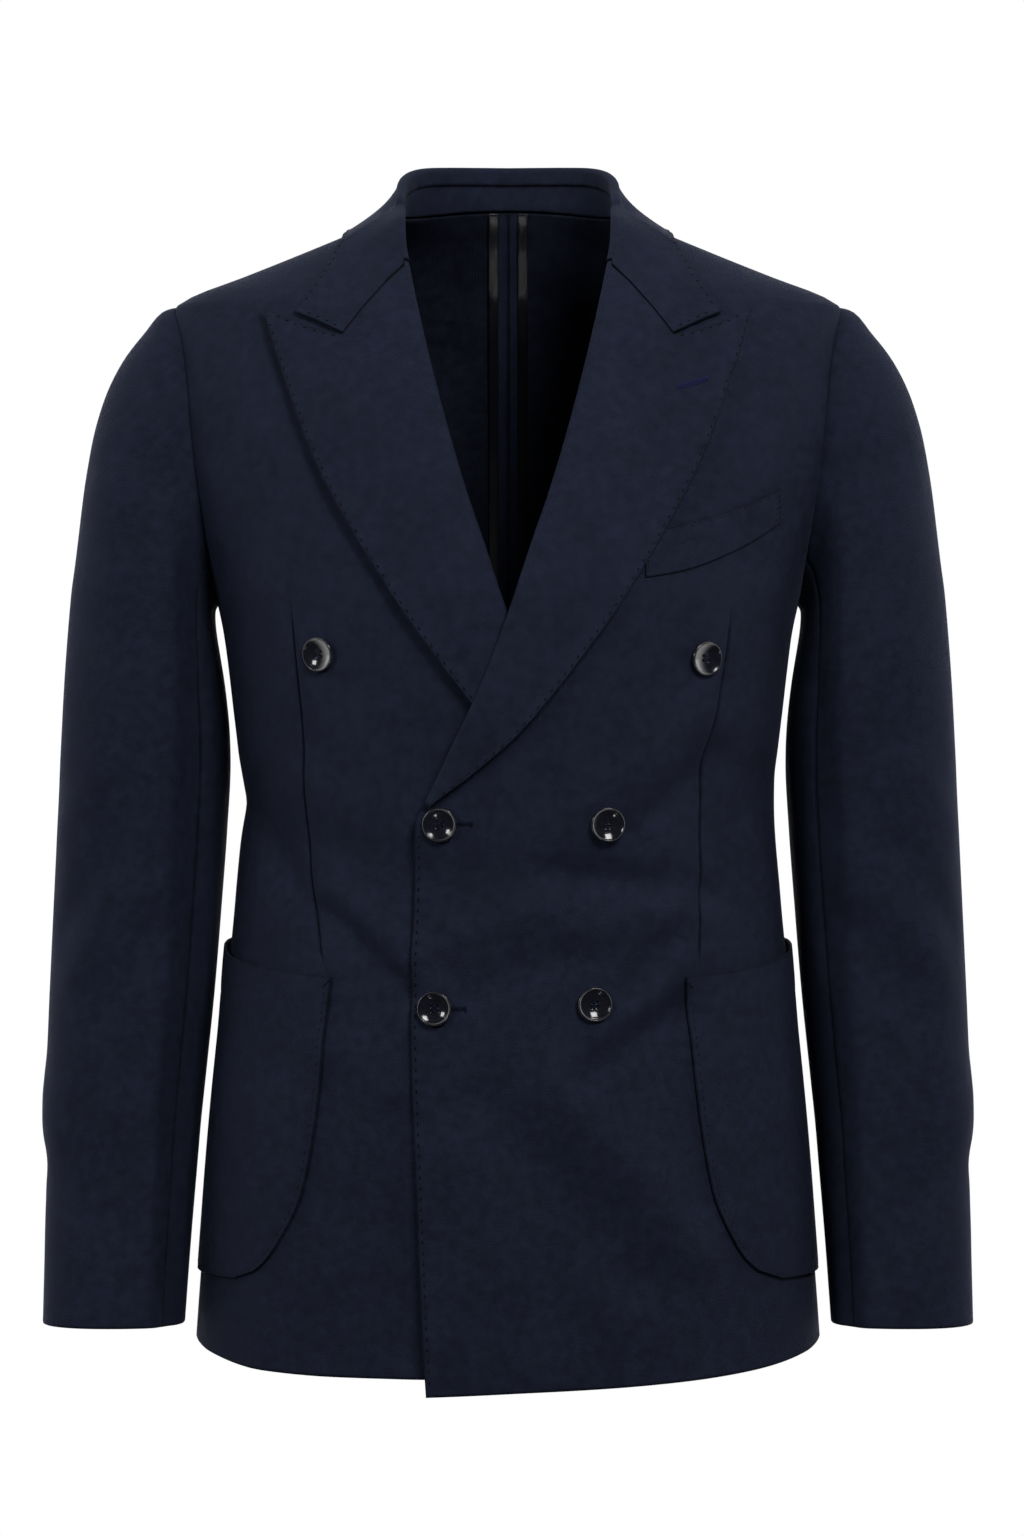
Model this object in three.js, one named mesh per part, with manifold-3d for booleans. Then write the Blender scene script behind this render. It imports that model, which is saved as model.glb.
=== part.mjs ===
// A double-breasted blazer with peak lapels, filled out as worn, hollow and open
// at the neck, hem, cuffs and armholes. Millimetres, +Z up, the front faces -Y.
// +X is the wearer's left, whose front lies on top of the other.
// The origin is the middle of the neck opening, level with the shoulders' inner ends.
import * as THREE from "three";
import { mergeVertices } from "three/addons/utils/BufferGeometryUtils.js";
import Module from "manifold-3d";

const LEFT = 1;
const RIGHT = -1;

// Walls and gaps
const CLOTH = 2.0;
const TURNED_CLOTH = 2.4;
const POCKET_CLOTH = 1.6;
const WELT_CLOTH = 1.0;
const TAPE_CLOTH = 0.8;
const SEAM_GAP = 0.4;

// The torso's horizontal sections, from neck to hem. Depths run from centreY.
const TORSO = [
  { z: 14, halfWidth: 60, centreY: 5, frontDepth: 40, backDepth: 74 },
  { z: 2, halfWidth: 70, centreY: 5, frontDepth: 45, backDepth: 79 },
  { z: -6, halfWidth: 86, centreY: 5, frontDepth: 49, backDepth: 84 },
  { z: -14, halfWidth: 105, centreY: 5, frontDepth: 53, backDepth: 88 },
  { z: -28, halfWidth: 139, centreY: 5, frontDepth: 61, backDepth: 94 },
  { z: -40, halfWidth: 169, centreY: 5, frontDepth: 69, backDepth: 98 },
  { z: -53, halfWidth: 202, centreY: 5, frontDepth: 79, backDepth: 102 },
  { z: -60, halfWidth: 211, centreY: 5, frontDepth: 84, backDepth: 104 },
  { z: -75, halfWidth: 213.5, centreY: 5, frontDepth: 94, backDepth: 108 },
  { z: -98, halfWidth: 215, centreY: 5, frontDepth: 105, backDepth: 112 },
  { z: -127, halfWidth: 213, centreY: 4, frontDepth: 116, backDepth: 117 },
  { z: -150, halfWidth: 209, centreY: 3, frontDepth: 122, backDepth: 120 },
  { z: -191, halfWidth: 198, centreY: 2, frontDepth: 131, backDepth: 122 },
  { z: -225, halfWidth: 187.5, centreY: 1, frontDepth: 135, backDepth: 121 },
  { z: -245, halfWidth: 182.5, centreY: 0, frontDepth: 136, backDepth: 119 },
  { z: -268, halfWidth: 178, centreY: 0, frontDepth: 135, backDepth: 115 },
  { z: -310, halfWidth: 172.8, centreY: 0, frontDepth: 131, backDepth: 105 },
  { z: -336, halfWidth: 170, centreY: 0, frontDepth: 127, backDepth: 99 },
  { z: -377, halfWidth: 168, centreY: 0, frontDepth: 122, backDepth: 94 },
  { z: -430, halfWidth: 171.5, centreY: 0, frontDepth: 121, backDepth: 97 },
  { z: -470, halfWidth: 175.3, centreY: 0, frontDepth: 123, backDepth: 103 },
  { z: -500, halfWidth: 178.3, centreY: 0, frontDepth: 125, backDepth: 108 },
  { z: -560, halfWidth: 184, centreY: 0, frontDepth: 129, backDepth: 115 },
  { z: -620, halfWidth: 189.5, centreY: 0, frontDepth: 131, backDepth: 119 },
  { z: -683, halfWidth: 194.5, centreY: 0, frontDepth: 132, backDepth: 121 },
  { z: -735, halfWidth: 198, centreY: 0, frontDepth: 133, backDepth: 122 },
];
const FRONT_POWER = 2.35;
const BACK_POWER = 2.5;

// Armhole: an egg seen from the side
const ARMHOLE = { topZ: -57, bottomZ: -243, y: 5, frontHalf: 55, backHalf: 61 };
const RING_STEPS = 24;

// Neckline and shoulder
const NECK_POINT_Z = 2;
const BACK_NECK_RISE = 9;
const FRONT_NECK_TOP_Z = 0;

// Hem: level at the side, lower towards the front edge
const HEM_Z = -703;
const HEM_DROP_STARTS_Z = -560;
const HEM_DROPS = [
  { x: -60, over: -25.5, under: -15 },
  { x: 0, over: -23, under: -15 },
  { x: 105, over: -17.5, under: -14.5 },
  { x: 150, over: -13, under: -13 },
  { x: 185, over: -6, under: -6 },
  { x: 198, over: 0, under: 0 },
];

// The line where the cloth turns back into lapel and collar, seen from the front.
const ROLL_LINE = [
  { z: 0, x: 64.5 },
  { z: -23, x: 63.4 },
  { z: -41, x: 60.2 },
  { z: -66, x: 55 },
  { z: -104, x: 46.2 },
  { z: -147, x: 34.9 },
  { z: -182, x: 24.5 },
  { z: -214, x: 13.6 },
  { z: -248, x: 2.4 },
  { z: -271, x: -6 },
  { z: -307, x: -20.5 },
  { z: -338, x: -35.1 },
  { z: -371, x: -50.3 },
];
const BREAK_Z = -371;
const FOLD_OUTSIDE = 4.0; // the rolled fold stands this far past the front's own edge

const FRONT_EDGE = [
  { z: -371, x: -50.3 },
  { z: -398, x: -54.6 },
  { z: -428, x: -56.6 },
  { z: -500, x: -58.8 },
  { z: -549, x: -57.5 },
  { z: -597, x: -55.1 },
  { z: -640, x: -52.6 },
  { z: -688, x: -49.6 },
  { z: -730, x: -46.5 },
];

// How far the two fronts stand off the torso where they lie on each other.
const LAYER = {
  over: 1.7, under: -1.7, lapelBelow: 3.9, cornerKick: 4,
  fullX: 62, endX: 120,
  topZ: -150, fullZ: -236,
  lapelStartZ: -378, lapelEndZ: -420,
};

// The fronts' largest folds, as seen from the front: soft ridges, or troughs below zero.
const FRONT_FOLDS = [
  { fromX: -159, fromZ: -356, toX: -132, toZ: -418, width: 15, height: -2.6 },
  { fromX: -108, fromZ: -318, toX: -50, toZ: -396, width: 13, height: 2.0 },
  { fromX: -140, fromZ: -395, toX: -62, toZ: -398, width: 14, height: -1.6 },
  { fromX: -84, fromZ: -436, toX: -70, toZ: -462, width: 13, height: 1.8 },
  { fromX: 62, fromZ: -376, toX: 128, toZ: -318, width: 14, height: 1.9 },
  { fromX: 84, fromZ: -492, toX: 120, toZ: -424, width: 15, height: 2.0 },
  { fromX: 156, fromZ: -352, toX: 134, toZ: -430, width: 15, height: -2.6 },
  { fromX: 20, fromZ: -560, toX: 34, toZ: -690, width: 20, height: -2.0 },
];

// Lapel: outer edge from the break to the peak, and its top end along the gorge.
const LAPEL_EDGE = [
  { z: -368.5, x: -45 },
  { z: -352, x: -23 },
  { z: -325, x: 7.3 },
  { z: -272, x: 49.5 },
  { z: -222, x: 83 },
  { z: -160, x: 117 },
  { z: -104, x: 137.5 },
  { z: -66, x: 149.5 },
];
const LAPEL_BOTTOM_Z = -366;
const GORGE_TOP = { x: 60.9, z: -36 };
const GORGE = [
  { share: 0, x: GORGE_TOP.x, z: GORGE_TOP.z },
  { share: 0.2, x: 74.5, z: -50 },
  { share: 0.38, x: 87.5, z: -65.5 },
  { share: 0.56, x: 101, z: -83 },
];
const PEAK_TOP = [
  ...GORGE,
  { share: 0.7, x: 117, z: -79.2 },
  { share: 0.85, x: 133, z: -73.5 },
  { share: 1, x: 149.5, z: -66 },
];
const COLLAR_END = [
  ...GORGE,
  { share: 0.7, x: 111.2, z: -77.8 },
  { share: 0.85, x: 121.2, z: -73.2 },
  { share: 1, x: 131.5, z: -69 },
];
const LEAF_SHARES = GORGE.slice(1).map((row) => row.share).concat([0.7, 0.85, 1]);
const LAPEL_LIFT = 3.0; // from the front's outer face to the middle of the lapel's cloth
const ROLL = { lead: 0.5, radius: 1.9 };

// Collar: its fold from the middle of the back to the gorge, its seam to the neckline,
// and its outer edge. Behind the shoulder the last two are given by the angle round
// the torso, and before it as seen from the front.
const COLLAR_FOLD = [
  { along: 0, x: 0, y: 77, z: 38 },
  { along: 1, x: 20, y: 75.5, z: 38 },
  { along: 2, x: 38, y: 69.5, z: 37.4 },
  { along: 3, x: 52, y: 57, z: 35.6 },
  { along: 4, x: 61, y: 41, z: 32 },
  { along: 5, x: 66.2, y: 23, z: 26 },
  { along: 6, x: 67.8, y: 6, z: 17.5 },
  { along: 7, x: 67.8, y: -10, z: 8.5 },
];
const COLLAR_BEHIND = [
  { along: 0, seamAngle: 180, edgeAngle: 180, edgeZ: -4 },
  { along: 1, seamAngle: 165, edgeAngle: 166, edgeZ: -4.2 },
  { along: 2, seamAngle: 150, edgeAngle: 152, edgeZ: -4.8 },
  { along: 3, seamAngle: 135, edgeAngle: 138, edgeZ: -5.8 },
  { along: 4, seamAngle: 120, edgeAngle: 123, edgeZ: -7.4 },
  { along: 5, seamAngle: 105, edgeAngle: 108, edgeZ: -9.6 },
  { along: 6, seamAngle: 90, edgeAngle: 92, edgeZ: -12.4 },
];
const COLLAR_BEFORE = [
  { along: 6, seamAngle: 90, seamZ: 0, edgeX: 101, edgeZ: -12.4 },
  { along: 7, seamAngle: 76, seamZ: 0, edgeX: 103.5, edgeZ: -22 },
  { along: 7.5, seamAngle: 66, seamZ: 0, edgeX: 106.5, edgeZ: -28 },
  { along: 8, seamAngle: 0, seamZ: -7, edgeX: 110.5, edgeZ: -35 },
  { along: 9, seamAngle: 0, seamZ: -21, edgeX: 120, edgeZ: -51 },
  { along: 10, seamAngle: 0, seamZ: -35.5, edgeX: 131, edgeZ: -68.5 },
];
const COLLAR_STATIONS = [0, 1, 2, 3, 4, 5, 6, 6.1, 7, 7.5, 8, 8.7, 9.4, 10];
const STAND_STATIONS = [0, 1, 2, 3, 4, 5, 5.95];
const SHOULDER_ALONG = 6;
const CORNER_ALONG = 7.5; // where the neckline turns down along the front's inner edge
const STAND_SEAM_DEPTH = 9; // the stand's upper seam lies this far below the fold
const COLLAR_LIFT = 2.6;
const COLLAR_CURL = 0.12; // how much the leaf's two ends pull it into a curve

// Patch pocket, on the wearer's own side, wrapped round to the back
const POCKET_FRONT_EDGE = [
  { z: -475, x: 106.6 },
  { z: -490, x: 108.2 },
  { z: -520, x: 111.2 },
  { z: -565, x: 116.5 },
  { z: -607, x: 124.5 },
  { z: -633, x: 136 },
  { z: -654, x: 151 },
  { z: -661.5, x: 168 },
];
const POCKET_BACK_EDGE = [
  { z: -475, y: 46 },
  { z: -600, y: 49 },
  { z: -633, y: 42 },
  { z: -654, y: 26 },
  { z: -661.5, y: 8 },
];
const POCKET_ROWS = [-475, -500, -530, -560, -588, -612, -630, -644, -654, -659.5, -661.5];
const POCKET_COLUMNS = 9;
const POCKET_TOP = [
  { share: 0, rise: 0 },
  { share: 0.25, rise: 4 },
  { share: 0.5, rise: 10 },
  { share: 0.72, rise: 17.5 },
  { share: 1, rise: 21 },
];
const POCKET_RISE_ENDS_Z = -600;
const POCKET_GAP = 0.9;
const POCKET_MOUTH_GAP = 1.5; // more at the mouth, which stands off the cloth

// Welt of the breast pocket, on the wearer's left front
const WELT = [
  { x: 82, topZ: -209, bottomZ: -233 },
  { x: 97, topZ: -202.5, bottomZ: -230.2 },
  { x: 113, topZ: -198, bottomZ: -226 },
  { x: 129, topZ: -193, bottomZ: -219.5 },
  { x: 142, topZ: -188, bottomZ: -213.2 },
  { x: 155, topZ: -182.2, bottomZ: -205.5 },
  { x: 168, topZ: -176, bottomZ: -197.2 },
];
const WELT_GAP = 0.5;

// Sleeve sections from the armhole to the cuff: outermost and innermost points
// seen from the front, and the depth before and behind the middle.
const SLEEVE = [
  { outerX: 218.5, outerZ: -62, innerX: 184.8, innerZ: -249, y: 4.5, front: 56, back: 62 },
  { outerX: 229, outerZ: -74, innerX: 185, innerZ: -254, y: 4, front: 58, back: 63.5 },
  { outerX: 240, outerZ: -88, innerX: 184.6, innerZ: -259, y: 3.5, front: 59.5, back: 64.5 },
  { outerX: 250, outerZ: -106, innerX: 183.8, innerZ: -265, y: 3, front: 61, back: 65 },
  { outerX: 258.5, outerZ: -130, innerX: 182.6, innerZ: -272, y: 2.5, front: 62, back: 65 },
  { outerX: 265, outerZ: -162, innerX: 181, innerZ: -281, y: 2, front: 62.5, back: 65 },
  { outerX: 270, outerZ: -200, innerX: 179.2, innerZ: -292, y: 2, front: 62.5, back: 65 },
  { outerX: 274.6, outerZ: -243, innerX: 177.4, innerZ: -306, y: 2.5, front: 62.5, back: 64.5 },
  { outerX: 278.4, outerZ: -288, innerX: 175.8, innerZ: -323, y: 3, front: 62, back: 63.5 },
  { outerX: 281.4, outerZ: -336, innerX: 175.2, innerZ: -346, y: 5, front: 61, back: 62 },
  { outerX: 284, outerZ: -384, innerX: 177.2, innerZ: -384, y: 6.5, front: 59, back: 60 },
  { outerX: 286.5, outerZ: -436, innerX: 181, innerZ: -436, y: 6, front: 56.5, back: 58 },
  { outerX: 288.8, outerZ: -490, innerX: 185.3, innerZ: -490, y: 3.5, front: 54, back: 55.5 },
  { outerX: 290.6, outerZ: -540, innerX: 190.2, innerZ: -540, y: -1.5, front: 51, back: 53 },
  { outerX: 292.4, outerZ: -574, innerX: 193.5, innerZ: -574, y: -6, front: 49, back: 51 },
  { outerX: 290.2, outerZ: -594, innerX: 195, innerZ: -594, y: -9, front: 47.5, back: 49 },
  { outerX: 290, outerZ: -640, innerX: 198.5, innerZ: -640, y: -16, front: 45, back: 46 },
  { outerX: 290.5, outerZ: -694, innerX: 202, innerZ: -694, y: -25, front: 42, back: 43 },
];
const SLEEVE_POWER = 2.25;
const SLEEVE_FRONT_SEAM = 9; // steps round the ring from the top
const SLEEVE_BACK_SEAM = -8;
const SLEEVE_START_GAP = 0.8;

// Buttons, four-holed with a raised rim
const BUTTON = {
  radius: 10.7, rimWidth: 1.7, rimHeight: 3.4, dish: 2.2, underside: 0.9,
  holeRadius: 1.0, holeFromCentre: 2.1, steps: 20, holeSteps: 6, clearance: 0.5,
};
const BUTTONS = [
  { name: "button_upper_right", side: RIGHT, x: 114.3, z: -278.5 },
  { name: "button_upper_left", side: LEFT, x: 119.3, z: -280.8 },
  { name: "button_middle_fastened", side: LEFT, x: -40.6, z: -381.8 },
  { name: "button_middle_left", side: LEFT, x: 58.9, z: -381.8 },
  { name: "button_lower_fastened", side: LEFT, x: -44.2, z: -493.8 },
  { name: "button_lower_left", side: LEFT, x: 52.1, z: -491.4 },
];

// Pressed-open seam allowance down the inside of the back, bound at its edge
const ALLOWANCE = { from: 0.2, to: 12.3, thickness: 1.0, gap: 0.3 };
const BINDING = { from: 6.3, to: 12.8, gap: 0.3 };

// Rows of the body panels
const SKIRT_ROWS = [-703, -672, -636, -600, -560, -520, -480, -440, -408, -377, -345, -310, -276];
const SHOULDER_ROWS = [-50, -42, -34, -26, -18.5, -11.5, -5.5, 0];
const FRONT_COLUMNS = 12;
const BACK_COLUMNS = 8;

/** 0 at from, 1 at to, and smooth between. */
function ease(value, from, to) {
  const t = THREE.MathUtils.clamp((value - from) / (to - from), 0, 1);
  return t * t * (3 - 2 * t);
}

/** Reads a column of a table at a key, on a smooth curve that never overshoots. */
function read(table, key, column, at) {
  const rows = table[0][key] < table[table.length - 1][key] ? table : [...table].reverse();
  const last = rows.length - 1;
  if (at <= rows[0][key]) return rows[0][column];
  if (at >= rows[last][key]) return rows[last][column];
  let i = 0;
  while (rows[i + 1][key] < at) i += 1;
  const step = (k) => rows[k + 1][key] - rows[k][key];
  const slope = (k) => (rows[k + 1][column] - rows[k][column]) / step(k);
  const tangent = (k) => {
    if (k === 0) return slope(0);
    if (k === last) return slope(last - 1);
    const before = slope(k - 1);
    const after = slope(k);
    return before * after <= 0 ? 0 : (2 * before * after) / (before + after);
  };
  const h = step(i);
  const t = (at - rows[i][key]) / h;
  const rise = t * t * (3 - 2 * t);
  return (
    rows[i][column] * (1 - rise) + rows[i + 1][column] * rise +
    h * t * (1 - t) * ((1 - t) * tangent(i) - t * tangent(i + 1))
  );
}

/** The torso's section at a height. */
function section(z) {
  const value = (column) => read(TORSO, "z", column, z);
  return {
    a: value("halfWidth"), y: value("centreY"),
    front: value("frontDepth"), back: value("backDepth"),
  };
}

const signedPower = (value, power) => Math.sign(value) * Math.abs(value) ** power;

/** A point of the torso; the angle runs from the front's middle round the wearer's own side. */
function torsoPoint(angle, z) {
  const s = section(z);
  const ahead = Math.cos(angle) >= 0;
  const power = 2 / (ahead ? FRONT_POWER : BACK_POWER);
  return new THREE.Vector3(
    s.a * signedPower(Math.sin(angle), power),
    s.y - (ahead ? s.front : s.back) * signedPower(Math.cos(angle), power),
    z,
  );
}

/** The outward normal there, from the gradient of the section's own equation. */
function torsoNormal(angle, z) {
  const p = torsoPoint(angle, z);
  const s = section(z);
  const above = section(z + 0.5);
  const below = section(z - 0.5);
  const ahead = Math.cos(angle) >= 0;
  const power = ahead ? FRONT_POWER : BACK_POWER;
  const depth = ahead ? "front" : "back";
  const across = Math.abs(p.x) / s.a;
  const away = Math.abs(p.y - s.y) / s[depth];
  return new THREE.Vector3(
    (Math.sign(p.x) * across ** (power - 1)) / s.a,
    (Math.sign(p.y - s.y) * away ** (power - 1)) / s[depth],
    (-(across ** power) * (above.a - below.a)) / s.a -
      (away ** power * (above[depth] - below[depth])) / s[depth] -
      (Math.sign(p.y - s.y) * away ** (power - 1) * (above.y - below.y)) / s[depth],
  ).normalize();
}

/** The angle of the front at a distance across from the middle. */
function angleAtX(x, z) {
  const across = THREE.MathUtils.clamp(x / section(z).a, -1, 1);
  return Math.asin(signedPower(across, FRONT_POWER / 2));
}

/** The angle on the back at a distance across from the middle. */
function backAngleAtX(x, z) {
  return Math.PI - Math.asin(signedPower(x / section(z).a, BACK_POWER / 2));
}

/** The angle at a depth, on the wearer's own side. */
function angleAtY(y, z) {
  const s = section(z);
  const ahead = y < s.y;
  const away = THREE.MathUtils.clamp((s.y - y) / (ahead ? s.front : s.back), -1, 1);
  return Math.acos(signedPower(away, (ahead ? FRONT_POWER : BACK_POWER) / 2));
}

/** The height of a table of folds at a place: a soft ridge along each fold's line. */
function foldHeight(folds, x, z) {
  return folds.reduce((sum, fold) => {
    const runX = fold.toX - fold.fromX;
    const runZ = fold.toZ - fold.fromZ;
    const along = ((x - fold.fromX) * runX + (z - fold.fromZ) * runZ) / (runX ** 2 + runZ ** 2);
    const held = THREE.MathUtils.clamp(along, 0, 1);
    const away = Math.hypot(x - fold.fromX - held * runX, z - fold.fromZ - held * runZ);
    return sum + fold.height * Math.exp(-((away / fold.width) ** 2));
  }, 0);
}

/** How far a front stands off the torso's surface at a place on its own side. */
function layer(side, x, z) {
  const share = (1 - ease(Math.abs(x), LAYER.fullX, LAYER.endX)) * ease(z, LAYER.topZ, LAYER.fullZ);
  const folds = foldHeight(FRONT_FOLDS, side * x, z);
  if (side === RIGHT) return LAYER.under * share + folds;
  const lapel = LAYER.lapelBelow * ease(z, LAYER.lapelEndZ, LAYER.lapelStartZ);
  const kick = LAYER.cornerKick * ease(z, -520, -720) * (1 - ease(x, -57, 15));
  return (LAYER.over + lapel + kick) * share + folds;
}

/** A point standing off a front by a distance, at an angle and height. */
function frontPoint(side, angle, z, out) {
  const p = torsoPoint(angle, z);
  const stand = layer(side, p.x, z) + out;
  return p.addScaledVector(torsoNormal(angle, z), stand);
}

/** A point standing off a front at a distance across; past the widest place it stays there. */
function frontPointAtX(side, x, z, out) {
  return frontPoint(side, angleAtX(x, z), z, out);
}

/** The armhole's height at an angle round it from the top, towards the front. */
function armholeZ(turn) {
  const middle = (ARMHOLE.topZ + ARMHOLE.bottomZ) / 2;
  return middle + ((ARMHOLE.topZ - ARMHOLE.bottomZ) / 2) * Math.cos(turn);
}

/** The armhole's depth at that angle. */
function armholeY(turn) {
  const half = Math.sin(turn) >= 0 ? ARMHOLE.frontHalf : ARMHOLE.backHalf;
  return ARMHOLE.y - half * Math.sin(turn);
}

/** A point of the armhole's seam. */
function armholePoint(turn) {
  const z = armholeZ(turn);
  return torsoPoint(angleAtY(armholeY(turn), z), z);
}

/** The side seam's depth: at the armhole's lowest point, then behind the side. */
function sideSeamY(z) {
  return ARMHOLE.y + 25 * ease(z, ARMHOLE.bottomZ, -340);
}

const armholeTurns = Array.from({ length: RING_STEPS / 2 + 1 }, (_, i) => {
  return Math.PI - (i * 2 * Math.PI) / RING_STEPS;
});
const PANEL_ROWS = [
  ...SKIRT_ROWS.map((z) => ({ z, turn: null })),
  ...armholeTurns.map((turn) => ({ z: armholeZ(turn), turn })),
  ...SHOULDER_ROWS.map((z) => ({ z, turn: null })),
];

/** The angle of a panel's outer edge: side seam, armhole or shoulder seam. */
function outerAngle(row, towardsBack) {
  const shift = (towardsBack ? 1 : -1) * (SEAM_GAP / 2);
  const inArmhole = row.turn !== null && row.turn > 0.01 && row.turn < Math.PI - 0.01;
  if (inArmhole) return angleAtY(armholeY(towardsBack ? -row.turn : row.turn), row.z);
  if (row.z > ARMHOLE.bottomZ + 1) return angleAtY(section(row.z).y + shift, row.z);
  return angleAtY(sideSeamY(row.z) + shift, row.z);
}

/** Where a front's inner edge lies across: front edge below the break, roll line above. */
function innerX(z) {
  const roll = read(ROLL_LINE, "z", "x", z) + FOLD_OUTSIDE;
  const edge = read(FRONT_EDGE, "z", "x", z);
  return edge + (roll - edge) * ease(z, BREAK_Z - 1, BREAK_Z + 8);
}

/** Turns two matching grids of points, one each side of the cloth, into a closed wall. */
function wall(outer, inner) {
  const rows = outer.length;
  const columns = outer[0].length;
  const points = [...outer.flat(), ...inner.flat()];
  const at = (face, i, j) => face * rows * columns + i * columns + j;
  const faces = [];
  const quad = (a, b, c, d) => faces.push([a, b, c], [a, c, d]);
  const spans = columns - 1;
  for (let i = 0; i < rows - 1; i += 1) {
    for (let j = 0; j < spans; j += 1) {
      quad(at(0, i, j), at(0, i, j + 1), at(0, i + 1, j + 1), at(0, i + 1, j));
      quad(at(1, i, j), at(1, i + 1, j), at(1, i + 1, j + 1), at(1, i, j + 1));
    }
  }
  for (let j = 0; j < spans; j += 1) {
    quad(at(0, 0, j), at(1, 0, j), at(1, 0, j + 1), at(0, 0, j + 1));
    quad(at(0, rows - 1, j), at(0, rows - 1, j + 1), at(1, rows - 1, j + 1), at(1, rows - 1, j));
  }
  for (let i = 0; i < rows - 1; i += 1) {
    quad(at(0, i, 0), at(0, i + 1, 0), at(1, i + 1, 0), at(1, i, 0));
    quad(at(0, i, spans), at(1, i, spans), at(1, i + 1, spans), at(0, i + 1, spans));
  }
  return closedGeometry(points, faces);
}

/** A geometry from points and triangles, turned so that its faces point out. */
function closedGeometry(points, faces) {
  const volume = faces.reduce((sum, [a, b, c]) => {
    return sum + points[a].dot(new THREE.Vector3().crossVectors(points[b], points[c]));
  }, 0);
  const outward = volume > 0 ? faces : faces.map(([a, b, c]) => [a, c, b]);
  const geometry = new THREE.BufferGeometry();
  geometry.setAttribute(
    "position",
    new THREE.Float32BufferAttribute(points.flatMap((p) => p.toArray()), 3),
  );
  geometry.setIndex(outward.flat());
  geometry.computeVertexNormals();
  return geometry;
}

/** The normals of a grid of points, from its neighbours along and across. */
function gridNormals(grid, closeRound = false) {
  const rows = grid.length;
  const columns = grid[0].length;
  return grid.map((line, i) => line.map((_, j) => {
    const up = grid[Math.min(i + 1, rows - 1)][j];
    const down = grid[Math.max(i - 1, 0)][j];
    const after = closeRound ? line[(j + 1) % columns] : line[Math.min(j + 1, columns - 1)];
    const before = closeRound ? line[(j - 1 + columns) % columns] : line[Math.max(j - 1, 0)];
    return new THREE.Vector3()
      .crossVectors(new THREE.Vector3().subVectors(after, before), new THREE.Vector3().subVectors(up, down))
      .normalize();
  }));
}

/** A grid moved along its normals. */
function moved(grid, normals, distance) {
  return grid.map((line, i) => line.map((p, j) => p.clone().addScaledVector(normals[i][j], distance)));
}

/** A grid on the wearer's own side, placed on that side. */
function onSide(side, grid) {
  return grid.map((line) => line.map((p) => new THREE.Vector3(side * p.x, p.y, p.z)));
}

/** A wall whose points come from place(row, column, out) at two distances out. */
function wallOf(side, rows, columns, place, outerOut, innerOut) {
  const grid = (out) => rows.map((row) => columns.map((column) => place(row, column, out)));
  return wall(onSide(side, grid(outerOut)), onSide(side, grid(innerOut)));
}

const shares = (count) => Array.from({ length: count + 1 }, (_, i) => i / count);

/** The drop of a front's lower rows at a distance across. */
function hemDrop(side, x, z) {
  const drop = read(HEM_DROPS, "x", side === LEFT ? "over" : "under", x);
  return drop * ease(z, HEM_DROP_STARTS_Z, HEM_Z);
}

/** One front, from its edge or roll line round to the side seam. */
function frontGeometry(side) {
  const place = (row, share, out) => {
    const inner = angleAtX(innerX(row.z), row.z);
    const angle = THREE.MathUtils.lerp(inner, outerAngle(row, false), share);
    const z = row.z + hemDrop(side, torsoPoint(angle, row.z).x, row.z);
    return frontPoint(side, angle, z, out);
  };
  return wallOf(side, PANEL_ROWS, shares(FRONT_COLUMNS), place, 0, -CLOTH);
}

/** A point of a back panel, at a share of the way from the centre seam to its outer edge. */
function backPlace(row, share, out) {
  const rise = BACK_NECK_RISE + NECK_POINT_Z - FRONT_NECK_TOP_Z;
  const lift = rise * ease(1 - share, 0, 1) * ease(row.z, -50, 0);
  const z = row.z + lift + (NECK_POINT_Z - FRONT_NECK_TOP_Z) * ease(row.z, -8, 0) * ease(share, 0, 1);
  const angle = THREE.MathUtils.lerp(
    backAngleAtX(SEAM_GAP / 2, z), outerAngle({ ...row, z: row.turn === null ? z : row.z }, true), share,
  );
  return torsoPoint(angle, z).addScaledVector(torsoNormal(angle, z), out);
}

/** One back panel, from the centre seam to the side seam, armhole and shoulder. */
function backGeometry(side) {
  return wallOf(side, PANEL_ROWS, shares(BACK_COLUMNS), backPlace, 0, -CLOTH);
}

/** A sleeve's outer points: the armhole's ring, then the sections down to the cuff. */
function sleeveRings() {
  const turns = Array.from({ length: RING_STEPS }, (_, i) => (i * 2 * Math.PI) / RING_STEPS);
  const first = turns.map((turn) => {
    return armholePoint(turn).add(new THREE.Vector3(SLEEVE_START_GAP, 0, 0));
  });
  const rings = SLEEVE.map((s) => turns.map((turn) => {
    const along = signedPower(Math.cos(turn), 2 / SLEEVE_POWER);
    const away = signedPower(Math.sin(turn), 2 / SLEEVE_POWER);
    return new THREE.Vector3(
      (s.outerX + s.innerX) / 2 + ((s.outerX - s.innerX) / 2) * along,
      s.y - (away > 0 ? s.front : s.back) * away,
      (s.outerZ + s.innerZ) / 2 + ((s.outerZ - s.innerZ) / 2) * along,
    );
  }));
  return [first, ...rings];
}

/** One panel of a sleeve: the steps round the ring from one seam to the other. */
function sleeveGeometry(side, fromStep, toStep) {
  const rings = sleeveRings();
  const normals = gridNormals(rings, true);
  const outward = normals[8][0].x > 0 ? 1 : -1;
  const pick = (grid) => grid.map((ring) => {
    const line = [];
    for (let step = fromStep; step <= toStep; step += 1) {
      line.push(ring[(step + RING_STEPS) % RING_STEPS].clone());
    }
    return trimmed(line, SEAM_GAP / 2);
  });
  const outer = pick(rings);
  const inner = pick(moved(rings, normals, -CLOTH * outward));
  return wall(onSide(side, outer), onSide(side, inner));
}

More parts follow.
